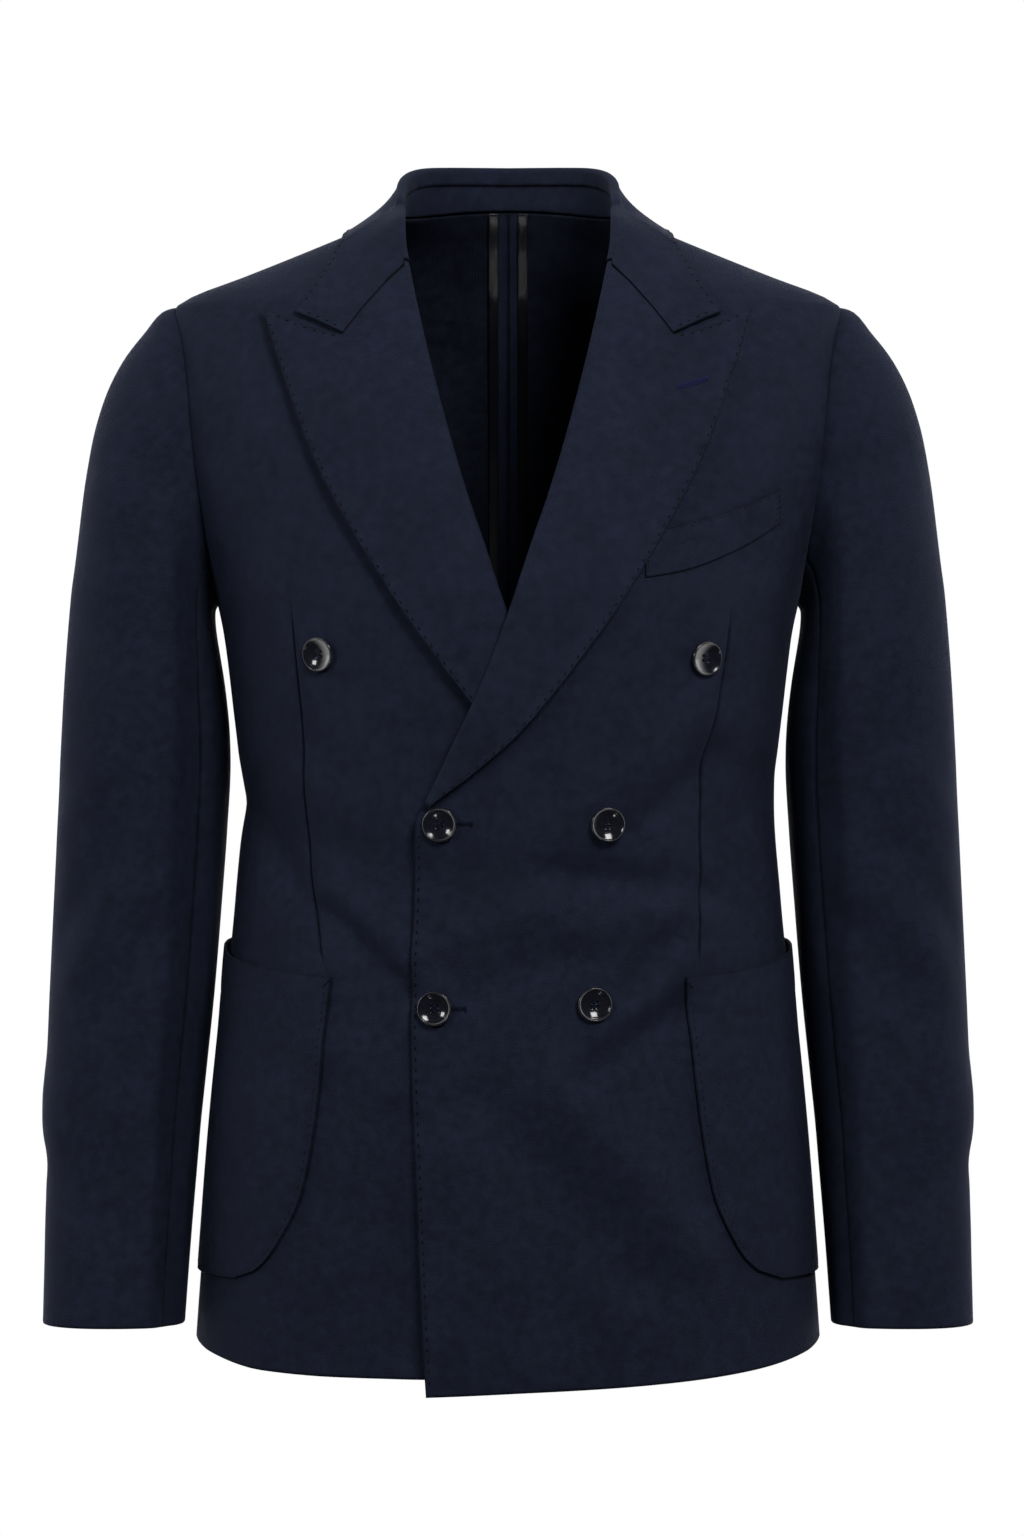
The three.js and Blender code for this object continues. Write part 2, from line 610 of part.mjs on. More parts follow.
/** A line of points whose two ends are drawn in by a distance. */
function trimmed(line, distance) {
  const pull = (end, next) => {
    const step = new THREE.Vector3().subVectors(next, end).setLength(distance);
    return end.clone().add(step);
  };
  const last = line.length - 1;
  const ends = [pull(line[0], line[1]), pull(line[last], line[last - 1])];
  return [ends[0], ...line.slice(1, last), ends[1]];
}

/** The middle of a cloth from its inside seam round the roll, as a line of points. */
function rolled(start, away, out) {
  const turn = [0, 0.33, 0.67, 1].map((share) => start.clone()
    .addScaledVector(away, ROLL.lead + ROLL.radius * Math.sin(share * Math.PI))
    .addScaledVector(out, ROLL.radius * (1 - Math.cos(share * Math.PI))));
  return [start, ...turn];
}

/** The frame of a front's inner edge at a height: its point, and the way across and out. */
function rollFrame(side, z) {
  const x = innerX(z);
  const edge = frontPointAtX(side, x, z, 0);
  const above = frontPointAtX(side, innerX(z + 2), z + 2, 0);
  const below = frontPointAtX(side, innerX(z - 2), z - 2, 0);
  const along = above.sub(below).normalize();
  const out = torsoNormal(angleAtX(x, z), z);
  const away = new THREE.Vector3().crossVectors(along, out).normalize();
  if (away.x > 0) away.negate();
  const start = edge.clone().addScaledVector(away, SEAM_GAP).addScaledVector(out, -CLOTH / 2);
  return { start, away, out };
}

/** Where a lapel's leaf lies, seen from the front, at shares along and across. */
function lapelGround(along, across) {
  const rollZ = THREE.MathUtils.lerp(LAPEL_BOTTOM_Z, GORGE_TOP.z - SEAM_GAP, along);
  const rollX = innerX(rollZ);
  const edgeZ = THREE.MathUtils.lerp(
    LAPEL_EDGE[0].z, LAPEL_EDGE[LAPEL_EDGE.length - 1].z, along ** 0.93,
  );
  const edgeX = read(LAPEL_EDGE, "z", "x", edgeZ);
  const topX = read(PEAK_TOP, "share", "x", across);
  const topZ = read(PEAK_TOP, "share", "z", across);
  const start = new THREE.Vector2(innerX(GORGE_TOP.z), GORGE_TOP.z);
  const end = new THREE.Vector2(PEAK_TOP.at(-1).x, PEAK_TOP.at(-1).z);
  const straight = start.clone().lerp(end, across);
  const bend = ease(along, 0.62, 1) ** 1.3;
  return {
    x: THREE.MathUtils.lerp(rollX, edgeX, across) + (topX - straight.x) * bend,
    z: THREE.MathUtils.lerp(rollZ, edgeZ, across) + (topZ - SEAM_GAP - straight.y) * bend,
  };
}

/** One lapel: the rolled fold, then the leaf lying over its front. */
function lapelGeometry(side) {
  const rows = shares(15).map((along) => {
    const rollZ = THREE.MathUtils.lerp(LAPEL_BOTTOM_Z, GORGE_TOP.z - SEAM_GAP, along);
    const frame = rollFrame(side, rollZ);
    const leaf = LEAF_SHARES.map((share) => {
      const ground = lapelGround(along, share);
      return frontPointAtX(side, ground.x, ground.z, LAPEL_LIFT);
    });
    return [...rolled(frame.start, frame.away, frame.out), ...leaf];
  });
  return clothAbout(side, rows, TURNED_CLOTH);
}

/** A wall about the middle of a cloth, placed on its side. */
function clothAbout(side, middle, thickness) {
  const normals = gridNormals(middle);
  return wall(
    onSide(side, moved(middle, normals, thickness / 2)),
    onSide(side, moved(middle, normals, -thickness / 2)),
  );
}

/** The way up the torso's surface. */
function torsoRise(angle, z) {
  return torsoPoint(angle, z + 1).sub(torsoPoint(angle, z - 1)).normalize();
}

/** The neck seam's point in the cloth's middle, and the way up and out of it there. */
function neckSeam(along) {
  if (along >= CORNER_ALONG) {
    const frame = rollFrame(RIGHT, read(COLLAR_BEFORE, "along", "seamZ", along));
    if (along > CORNER_ALONG) return { point: frame.start, out: frame.out, up: frame.away };
    const rise = torsoRise(angleAtX(innerX(0), 0), 0);
    const up = frame.away.clone().add(rise).normalize();
    return { point: frame.start.addScaledVector(rise, SEAM_GAP), out: frame.out, up };
  }
  const behind = along <= SHOULDER_ALONG;
  const table = behind ? COLLAR_BEHIND : COLLAR_BEFORE;
  const angle = THREE.MathUtils.degToRad(read(table, "along", "seamAngle", along));
  const round = angle / (Math.PI / 2) - 1;
  const z = behind ? NECK_POINT_Z + BACK_NECK_RISE * ease(round, 0, 1) : FRONT_NECK_TOP_Z;
  const out = torsoNormal(angle, z);
  const up = torsoRise(angle, z);
  const point = torsoPoint(angle, z)
    .addScaledVector(out, -CLOTH / 2)
    .addScaledVector(up, SEAM_GAP + 0.5);
  return { point, out, up };
}

/** A station of the collar, from 0 at the middle of the back to 10 at the gorge. */
function collarStation(along) {
  const seam = neckSeam(along);
  if (along >= CORNER_ALONG) {
    const foot = seam.point.clone().addScaledVector(seam.up, 0.6);
    return { seam: seam.point, foot, height: 0, out: seam.out, up: seam.up };
  }
  const fold = new THREE.Vector3(
    read(COLLAR_FOLD, "along", "x", along),
    read(COLLAR_FOLD, "along", "y", along),
    read(COLLAR_FOLD, "along", "z", along),
  );
  const out = new THREE.Vector3(fold.x, Math.max(fold.y - 8, 0), 0).normalize();
  const up = new THREE.Vector3().subVectors(fold, seam.point).normalize();
  up.addScaledVector(out, -up.dot(out)).normalize();
  const foot = fold.clone()
    .addScaledVector(up, -ROLL.lead - ROLL.radius)
    .addScaledVector(out, -ROLL.radius);
  return { seam: seam.point, foot, height: fold.distanceTo(seam.point), out, up };
}

/** The collar's outer edge at a station, and the way up the cloth under it. */
function collarEdge(along) {
  if (along <= SHOULDER_ALONG) {
    const angle = THREE.MathUtils.degToRad(read(COLLAR_BEHIND, "along", "edgeAngle", along));
    const z = read(COLLAR_BEHIND, "along", "edgeZ", along);
    const at = (height) => torsoPoint(angle, height)
      .addScaledVector(torsoNormal(angle, height), COLLAR_LIFT);
    return { point: at(z), up: at(z + 4).sub(at(z)).normalize() };
  }
  const x = read(COLLAR_BEFORE, "along", "edgeX", along);
  const z = read(COLLAR_BEFORE, "along", "edgeZ", along);
  const point = frontPointAtX(RIGHT, x, z, COLLAR_LIFT);
  const inward = frontPointAtX(RIGHT, x - 6, z + 3, COLLAR_LIFT);
  return { point, up: inward.sub(point).normalize() };
}

/** Where the collar's leaf lies near its front end, seen from the front. */
function collarGround(along, across) {
  const seamZ = read(COLLAR_BEFORE, "along", "seamZ", along);
  const bend = ease(along, 7, 10) ** 1.4;
  const last = COLLAR_END.at(-1);
  const straightX = THREE.MathUtils.lerp(innerX(GORGE_TOP.z), last.x, across);
  const straightZ = THREE.MathUtils.lerp(GORGE_TOP.z, last.z, across);
  const edgeX = read(COLLAR_BEFORE, "along", "edgeX", along);
  const edgeZ = read(COLLAR_BEFORE, "along", "edgeZ", along);
  return {
    x: THREE.MathUtils.lerp(innerX(seamZ), edgeX, across) +
      (read(COLLAR_END, "share", "x", across) - straightX) * bend,
    z: THREE.MathUtils.lerp(seamZ, edgeZ, across) +
      (read(COLLAR_END, "share", "z", across) - straightZ) * bend,
  };
}

/** A point moved out until it stands off the torso by a distance at least. */
function keptOff(point, least) {
  const p = point.clone();
  for (let pass = 0; pass < 3; pass += 1) {
    const s = section(p.z);
    const ahead = p.y < s.y;
    const power = (ahead ? FRONT_POWER : BACK_POWER) / 2;
    const angle = Math.atan2(
      signedPower(p.x / s.a, power),
      signedPower((s.y - p.y) / (ahead ? s.front : s.back), power),
    );
    const normal = torsoNormal(angle, p.z);
    const distance = p.clone().sub(torsoPoint(angle, p.z)).dot(normal);
    if (distance >= least) break;
    p.addScaledVector(normal, least - distance);
  }
  return p;
}

/** The collar's leaf at a station: points from beside the fold to the outer edge. */
function collarLeaf(along, station, top) {
  const end = collarEdge(along);
  const reach = top.distanceTo(end.point) * COLLAR_CURL;
  const curve = new THREE.CubicBezierCurve3(
    top,
    top.clone().addScaledVector(station.up, -reach),
    end.point.clone().addScaledVector(end.up, reach),
    end.point,
  );
  const grounded = ease(along, 7, 9);
  return LEAF_SHARES.map((across) => {
    const hung = keptOff(curve.getPoint(across), COLLAR_LIFT);
    if (grounded === 0) return hung;
    const ground = collarGround(along, across);
    const laid = frontPointAtX(RIGHT, ground.x, ground.z, COLLAR_LIFT);
    return keptOff(hung.lerp(laid, grounded), COLLAR_LIFT);
  });
}

/** A grid round the whole collar, from a line of points made at each station. */
function roundCollar(stations, lineAt) {
  const behindFirst = [...stations].reverse();
  const right = behindFirst.map((along) => lineAt(along).map((p) => p.setX(-p.x)));
  return [...right, ...stations.slice(1).map((along) => lineAt(along))];
}

/** How much of the way from the seam to the roll's foot the stand takes up. */
function standShare(along, station) {
  return along > SHOULDER_ALONG ? 0 : 1 - STAND_SEAM_DEPTH / station.height;
}

/** The collar's fall: inside edge, fold and leaf, from gorge to gorge. */
function collarFallGeometry() {
  const grid = roundCollar(COLLAR_STATIONS, (along) => {
    const station = collarStation(along);
    const roll = rolled(station.foot, station.up, station.out);
    const low = station.seam.clone().lerp(station.foot, standShare(along, station));
    return [low, ...roll, ...collarLeaf(along, station, roll.at(-1))];
  });
  return clothAbout(LEFT, grid, TURNED_CLOTH);
}

/** The collar's stand: from the neck seam up to its upper seam. */
function collarStandGeometry() {
  const grid = roundCollar(STAND_STATIONS, (along) => {
    const station = collarStation(along);
    const gap = SEAM_GAP / station.foot.distanceTo(station.seam);
    const top = standShare(along, station) - gap;
    return [0, 0.5, 1].map((step) => station.seam.clone().lerp(station.foot, top * step));
  });
  return clothAbout(LEFT, grid, CLOTH);
}

/** A patch pocket, lying on its front and round the side. */
function pocketGeometry(side) {
  const place = (rowZ, share, out) => {
    const rise = read(POCKET_TOP, "share", "rise", share) * ease(rowZ, POCKET_RISE_ENDS_Z, POCKET_ROWS[0]);
    const z = rowZ + rise;
    const from = angleAtX(read(POCKET_FRONT_EDGE, "z", "x", rowZ), z);
    const to = angleAtY(read(POCKET_BACK_EDGE, "z", "y", rowZ), z);
    const mouth = POCKET_MOUTH_GAP * ease(rowZ, -530, POCKET_ROWS[0]) * ease(share, 0, 0.5);
    const angle = THREE.MathUtils.lerp(from, to, share);
    return frontPoint(side, angle, z, POCKET_GAP + mouth + out);
  };
  return wallOf(side, POCKET_ROWS, shares(POCKET_COLUMNS), place, POCKET_CLOTH, 0);
}

/** The breast pocket's welt. */
function weltGeometry() {
  const place = (row, share, out) => {
    const z = THREE.MathUtils.lerp(row.bottomZ, row.topZ, share);
    return frontPointAtX(LEFT, row.x, z, WELT_GAP + out);
  };
  return wallOf(LEFT, WELT, [0, 0.5, 1], place, WELT_CLOTH, 0);
}

/** A strip down the inside of a back panel, made from the panel's points, moved in. */
function stripGeometry(side, from, to, out, thickness) {
  const place = (row, x, standing) => {
    const seam = backPlace(row, 0, standing);
    const next = backPlace(row, 1 / BACK_COLUMNS, standing);
    return seam.lerp(next, (x - SEAM_GAP / 2) / (next.x - seam.x));
  };
  return wallOf(side, PANEL_ROWS, [from, to], place, out, out - thickness);
}

/** A closed solid for joining and cutting. */
function solidOf(wasm, geometry) {
  const bare = geometry.clone();
  bare.deleteAttribute("normal");
  bare.deleteAttribute("uv");
  const merged = mergeVertices(bare, 1e-4);
  return new wasm.Manifold(new wasm.Mesh({
    numProp: 3,
    vertProperties: new Float32Array(merged.attributes.position.array),
    triVerts: new Uint32Array(merged.index.array),
  }));
}

/** A geometry from a solid. */
function geometryOf(solid) {
  const mesh = solid.getMesh();
  const geometry = new THREE.BufferGeometry();
  geometry.setAttribute("position", new THREE.Float32BufferAttribute(mesh.vertProperties, 3));
  geometry.setIndex(new THREE.BufferAttribute(mesh.triVerts, 1));
  return geometry;
}

/** A button along +Y: a dished disc with a raised rim and four holes. */
function buttonGeometry(wasm) {
  const b = BUTTON;
  const profile = [
    [0, 0], [b.radius - 1.6, 0], [b.radius - 0.4, b.underside], [b.radius, 2],
    [b.radius - 0.5, b.rimHeight - 0.3], [b.radius - 1, b.rimHeight],
    [b.radius - b.rimWidth, b.rimHeight - 0.4], [b.radius - b.rimWidth - 0.8, b.dish], [0, b.dish],
  ].map(([radius, height]) => new THREE.Vector2(radius, height));
  let solid = solidOf(wasm, new THREE.LatheGeometry(profile, b.steps));
  for (const [x, z] of [[1, 1], [1, -1], [-1, 1], [-1, -1]]) {
    const hole = new THREE.CylinderGeometry(b.holeRadius, b.holeRadius, 4 * b.dish, b.holeSteps);
    const apart = b.holeFromCentre * Math.SQRT1_2;
    hole.translate(x * apart, 0, z * apart);
    solid = solid.subtract(solidOf(wasm, hole));
  }
  return geometryOf(solid);
}

/** Places a button on its front, facing out along the cloth's normal. */
function placeButton(mesh, { side, x, z }) {
  const angle = angleAtX(x, z);
  const at = frontPoint(side, angle, z, BUTTON.clearance);
  const normal = torsoNormal(angle, z);
  mesh.position.set(side * at.x, at.y, at.z);
  normal.x *= side;
  mesh.quaternion.setFromUnitVectors(new THREE.Vector3(0, 1, 0), normal);
}

const wasm = await Module();
wasm.setup();

const cloth = () => new THREE.MeshStandardMaterial({ color: 0x1e2230, roughness: 0.92, metalness: 0 });
const satin = () => new THREE.MeshStandardMaterial({ color: 0x14182a, roughness: 0.35, metalness: 0 });
const horn = () => new THREE.MeshStandardMaterial({ color: 0x0c1120, roughness: 0.22, metalness: 0 });

const blazer = new THREE.Group();

/** Adds a named piece to the blazer. */
function add(name, geometry, material) {
  const mesh = new THREE.Mesh(geometry, material);
  mesh.name = name;
  blazer.add(mesh);
  return mesh;
}

for (const [word, side] of [["left", LEFT], ["right", RIGHT]]) {
  add(`front_${word}`, frontGeometry(side), cloth());
  add(`back_${word}`, backGeometry(side), cloth());
  add(`sleeve_top_${word}`, sleeveGeometry(side, SLEEVE_BACK_SEAM, SLEEVE_FRONT_SEAM), cloth());
  add(
    `sleeve_under_${word}`,
    sleeveGeometry(side, SLEEVE_FRONT_SEAM, RING_STEPS + SLEEVE_BACK_SEAM), cloth(),
  );
  add(`lapel_${word}`, lapelGeometry(side), cloth());
  add(`patch_pocket_${word}`, pocketGeometry(side), cloth());
  const allowanceOut = -CLOTH - ALLOWANCE.gap;
  add(
    `seam_allowance_${word}`,
    stripGeometry(side, ALLOWANCE.from, ALLOWANCE.to, allowanceOut, ALLOWANCE.thickness), cloth(),
  );
  const bindingOut = allowanceOut - ALLOWANCE.thickness - BINDING.gap;
  add(
    `seam_binding_${word}`,
    stripGeometry(side, BINDING.from, BINDING.to, bindingOut, TAPE_CLOTH), satin(),
  );
}
add("collar_fall", collarFallGeometry(), cloth());
add("collar_stand", collarStandGeometry(), cloth());
add("breast_welt", weltGeometry(), cloth());
for (const place of BUTTONS) {
  placeButton(add(place.name, buttonGeometry(wasm), horn()), place);
}

export default blazer;
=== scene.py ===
"""A navy double-breasted blazer with peak lapels, filled out as worn, sewn round its CAD solids.

Every piece of cloth is a thin closed shell, worked out in millimetres from the same named sizes as the
solid that it stands for, with the folds, seams and darts of real cloth, and set into the mesh in metres.
+Z is up, the front faces -Y, and +X is the wearer's left, whose front lies on top of the other.
"""
from __future__ import annotations

import logging
import math
from dataclasses import dataclass, field
from enum import Enum

import bpy
import numpy as np
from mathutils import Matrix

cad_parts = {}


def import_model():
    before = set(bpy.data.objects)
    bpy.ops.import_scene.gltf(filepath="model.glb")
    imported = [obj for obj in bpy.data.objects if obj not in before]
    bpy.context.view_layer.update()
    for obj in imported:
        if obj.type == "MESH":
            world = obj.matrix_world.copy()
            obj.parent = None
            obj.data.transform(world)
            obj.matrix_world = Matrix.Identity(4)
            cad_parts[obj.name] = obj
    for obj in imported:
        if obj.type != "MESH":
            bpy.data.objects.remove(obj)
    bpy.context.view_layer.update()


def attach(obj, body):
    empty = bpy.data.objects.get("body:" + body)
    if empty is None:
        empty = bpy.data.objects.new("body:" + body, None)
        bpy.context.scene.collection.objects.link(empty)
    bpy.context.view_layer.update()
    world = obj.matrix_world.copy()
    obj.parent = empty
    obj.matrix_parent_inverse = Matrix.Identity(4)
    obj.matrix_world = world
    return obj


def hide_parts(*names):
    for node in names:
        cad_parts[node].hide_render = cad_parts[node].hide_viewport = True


Array = np.ndarray
Material, Tree, Socket = bpy.types.Material, bpy.types.NodeTree, bpy.types.NodeSocket
LOG = logging.getLogger("blazer")
METRES = 0.001  # metres in a millimetre

CLOTH = 2.0
TURNED_CLOTH = 2.4
POCKET_CLOTH = 1.6
WELT_CLOTH = 1.0
TAPE_CLOTH = 0.8
SEAM_GAP = 0.4
SEAM_LAP = 0.5  # how far sewn panels reach into each other, so that a seam lets no light through


class Side(Enum):
    """The wearer's two sides; the value is the sign of X there."""

    LEFT = 1
    RIGHT = -1

    @property
    def word(self) -> str:
        """The side's name as the nodes spell it."""
        return self.name.lower()


class Held(Enum):
    DRAPED = "draped"
    FOLDED = "folded"
    LAID = "laid"


# Small sums


def ease(value: Array | float, start: float, end: float) -> Array:
    """0 at start, 1 at end and smooth between: 3t² - 2t³ of the share t of the way."""
    t = np.clip((np.asarray(value, float) - start) / (end - start), 0, 1)
    return t * t * (3 - 2 * t)


def signed_power(value: Array, power: float) -> Array:
    """The size raised to a power, with the sign kept."""
    return np.sign(value) * np.abs(value) ** power


def unit(vectors: Array) -> Array:
    """The vectors at length 1."""
    return vectors / np.maximum(np.linalg.norm(vectors, axis=-1, keepdims=True), 1e-9)


def lerp(a: Array | float, b: Array | float, share: Array | float) -> Array:
    """The point at a share of the way from a to b."""
    return a + (b - a) * share


def bell(distance: Array | float, width: float) -> Array:
    """1 at no distance, falling as exp(-(distance / width)²)."""
    return np.exp(-((np.asarray(distance) / width) ** 2))


@dataclass(frozen=True)
class Table:
    """Rows of sizes under named columns, in millimetres or degrees; the first column is the key."""

    columns: str
    rows: tuple[tuple[float, ...], ...]

    def read(self, column: str, at: Array | float) -> Array:
        """Reads a column at a key: a cubic through the rows whose slope at each row is the
        harmonic mean of the slopes beside it, or 0 where they differ in sign.

        Args:
            column: the column's name.
            at: the keys to read at, held within the table's own.

        Returns:
            The values there.
        """
        rows = np.array(sorted(self.rows), float)
        key, value = rows[:, 0], rows[:, self.columns.split().index(column)]
        step = np.diff(key)
        slope = np.diff(value) / step
        same = slope[:-1] * slope[1:] > 0
        mean = 2 * slope[:-1] * slope[1:] / np.where(same, slope[:-1] + slope[1:], 1)
        tangent = np.concatenate([slope[:1], np.where(same, mean, 0), slope[-1:]])
        at = np.clip(np.asarray(at, float), key[0], key[-1])
        i = np.clip(np.searchsorted(key, at, side="right") - 1, 0, len(key) - 2)
        t = (at - key[i]) / step[i]
        rise = t * t * (3 - 2 * t)
        bow = step[i] * t * (1 - t) * ((1 - t) * tangent[i] - t * tangent[i + 1])
        return value[i] * (1 - rise) + value[i + 1] * rise + bow


def creased(folds: tuple[tuple[float, ...], ...], a: Array, b: Array) -> Array:
    """The height of a set of folds at places. Each is a soft ridge, or a trough where its height is
    below zero, along a straight line: its height times a bell of the distance to the line.

    Args:
        folds: for each, both ends of its line, its width and its height.
        a: the places' first coordinates.
        b: their second ones.

    Returns:
        The sum of the heights.
    """
    total = np.zeros(np.broadcast(a, b).shape)
    for start_a, start_b, end_a, end_b, width, height in folds:
        run_a, run_b = end_a - start_a, end_b - start_b
        share = ((a - start_a) * run_a + (b - start_b) * run_b) / (run_a ** 2 + run_b ** 2)
        held = np.clip(share, 0, 1)
        away = np.hypot(a - start_a - held * run_a, b - start_b - held * run_b)
        total = total + height * bell(away, width)
    return total


# The body's form, which all the panels lie on

TORSO = Table("z half_width centre_y front back", (
    (14, 60, 5, 40, 74), (2, 70, 5, 45, 79), (-6, 86, 5, 49, 84), (-14, 105, 5, 53, 88),
    (-28, 139, 5, 61, 94), (-40, 169, 5, 69, 98), (-53, 202, 5, 79, 102), (-60, 211, 5, 84, 104),
    (-75, 213.5, 5, 94, 108), (-98, 215, 5, 105, 112), (-127, 213, 4, 116, 117),
    (-150, 209, 3, 122, 120), (-191, 198, 2, 131, 122), (-225, 187.5, 1, 135, 121),
    (-245, 182.5, 0, 136, 119), (-268, 178, 0, 135, 115), (-310, 172.8, 0, 131, 105),
    (-336, 170, 0, 127, 99), (-377, 168, 0, 122, 94), (-430, 171.5, 0, 121, 97),
    (-470, 175.3, 0, 123, 103), (-500, 178.3, 0, 125, 108), (-560, 184, 0, 129, 115),
    (-620, 189.5, 0, 131, 119), (-683, 194.5, 0, 132, 121), (-735, 198, 0, 133, 122),
))
FRONT_POWER = 2.35
BACK_POWER = 2.5


class Torso:
    """The filled-out body: horizontal sections that are ovals of two halves, each |x/a|^p + |y/b|^p = 1."""

    @staticmethod
    def section(z: Array | float) -> tuple[Array, Array, Array, Array]:
        """The half width, the middle's y, and the depths before and behind it at a height."""
        return tuple(TORSO.read(name, z) for name in ("half_width", "centre_y", "front", "back"))

    @classmethod
    def point(cls, angle: Array, z: Array) -> Array:
        """A point at an angle from the front's middle: x = a sin^(2/p), y = y0 - b cos^(2/p).

        Args:
            angle: radians from the front's middle, round the wearer's own side.
            z: heights.

        Returns:
            The points, with x growing towards the wearer's own side.
        """
        angle, z = np.broadcast_arrays(np.asarray(angle, float), np.asarray(z, float))
        a, y, front, back = cls.section(z)
        ahead = np.cos(angle) >= 0
        power = np.where(ahead, 2 / FRONT_POWER, 2 / BACK_POWER)
        depth = np.where(ahead, front, back)
        return np.stack([
            a * signed_power(np.sin(angle), power), y - depth * signed_power(np.cos(angle), power), z,
        ], axis=-1)

    @classmethod
    def normal(cls, angle: Array, z: Array) -> Array:
        """The outward normal: the gradient of the section's own equation, its sizes' change with z in it.

        Args:
            angle: radians from the front's middle.
            z: heights.

        Returns:
            Unit vectors.
        """
        p = cls.point(angle, z)
        a, y, front, back = cls.section(p[..., 2])
        above, below = cls.section(p[..., 2] + 0.5), cls.section(p[..., 2] - 0.5)
        ahead = np.cos(np.broadcast_to(angle, a.shape)) >= 0
        power = np.where(ahead, FRONT_POWER, BACK_POWER)
        depth = np.where(ahead, front, back)
        deeper = np.where(ahead, above[2] - below[2], above[3] - below[3])
        across, away = np.abs(p[..., 0]) / a, np.abs(p[..., 1] - y) / depth
        toward = np.sign(p[..., 1] - y) * away ** (power - 1)
        return unit(np.stack([
            np.sign(p[..., 0]) * across ** (power - 1) / a,
            toward / depth,
            -(across ** power) * (above[0] - below[0]) / a - away ** power * deeper / depth
            - toward * (above[1] - below[1]) / depth,
        ], axis=-1))

    @classmethod
    def angle_at_x(cls, x: Array, z: Array) -> Array:
        """The front's angle at a distance across: the inverse of point's x."""
        across = np.clip(x / cls.section(z)[0], -1, 1)
        return np.arcsin(signed_power(across, FRONT_POWER / 2))

    @classmethod
    def back_angle_at_x(cls, x: Array, z: Array) -> Array:
        """The back's angle at a distance across."""
        across = np.clip(x / cls.section(z)[0], -1, 1)
        return math.pi - np.arcsin(signed_power(across, BACK_POWER / 2))

    @classmethod
    def angle_at_y(cls, y: Array, z: Array) -> Array:
        """The angle at a depth, on the wearer's own side: the inverse of point's y.

        Args:
            y: depths.
            z: heights.

        Returns:
            The angles.
        """
        _, middle, front, back = cls.section(z)
        ahead = y < middle
        away = np.clip((middle - y) / np.where(ahead, front, back), -1, 1)
        return np.arccos(signed_power(away, np.where(ahead, FRONT_POWER, BACK_POWER) / 2))

    @classmethod
    def rise(cls, angle: Array, z: Array) -> Array:
        """The way up the surface, from points 1 mm above and below."""
        return unit(cls.point(angle, z + 1) - cls.point(angle, z - 1))


# Armhole, side seam, hem, roll line and front edge

ARMHOLE_TOP, ARMHOLE_BOTTOM, ARMHOLE_Y = -57.0, -243.0, 5.0
ARMHOLE_FRONT, ARMHOLE_BACK = 55.0, 61.0
HEM_Z, HEM_DROP_TOP = -703.0, -560.0
HEM_DROPS = Table("x over under", (
    (-60, -25.5, -15), (0, -23, -15), (105, -17.5, -14.5), (150, -13, -13), (185, -6, -6), (198, 0, 0),
))
ROLL_LINE = Table("z x", (
    (0, 64.5), (-23, 63.4), (-41, 60.2), (-66, 55), (-104, 46.2), (-147, 34.9), (-182, 24.5),
    (-214, 13.6), (-248, 2.4), (-271, -6), (-307, -20.5), (-338, -35.1), (-371, -50.3),
))
FRONT_EDGE = Table("z x", (
    (-371, -50.3), (-377, -54.4), (-398, -55.8), (-428, -56.8), (-500, -58.8), (-549, -57.5), (-597, -55.1),
    (-640, -52.6), (-688, -49.6), (-730, -46.5),
))
BREAK_Z = -371.0
FOLD_OUTSIDE = 4.0
NECK_POINT_Z, BACK_NECK_RISE, FRONT_NECK_TOP_Z = 2.0, 9.0, 0.0


def armhole_z(turn: Array) -> Array:
    """The armhole's height at an angle round it from the top."""
    return (ARMHOLE_TOP + ARMHOLE_BOTTOM) / 2 + (ARMHOLE_TOP - ARMHOLE_BOTTOM) / 2 * np.cos(turn)


def armhole_y(turn: Array) -> Array:
    """The armhole's depth at that angle, towards the front where its sine is above 0."""
    return ARMHOLE_Y - np.where(np.sin(turn) >= 0, ARMHOLE_FRONT, ARMHOLE_BACK) * np.sin(turn)


def side_seam_y(z: Array) -> Array:
    """The side seam's depth: at the armhole's lowest point, then behind the side."""
    return ARMHOLE_Y + 25 * ease(z, ARMHOLE_BOTTOM, -340)


def inner_x(z: Array) -> Array:
    """Where a front's inner edge lies across: front edge below the break, roll line above."""
    roll, edge = ROLL_LINE.read("x", z) + FOLD_OUTSIDE, FRONT_EDGE.read("x", z)
    return lerp(edge, roll, ease(z, BREAK_Z - 4, BREAK_Z + 2))


# Folds: rows of both ends of a line, its width and its height. Those of the fronts and the back lie
# over x and z, and a sleeve's over degrees round it from the top, growing forwards, and z.

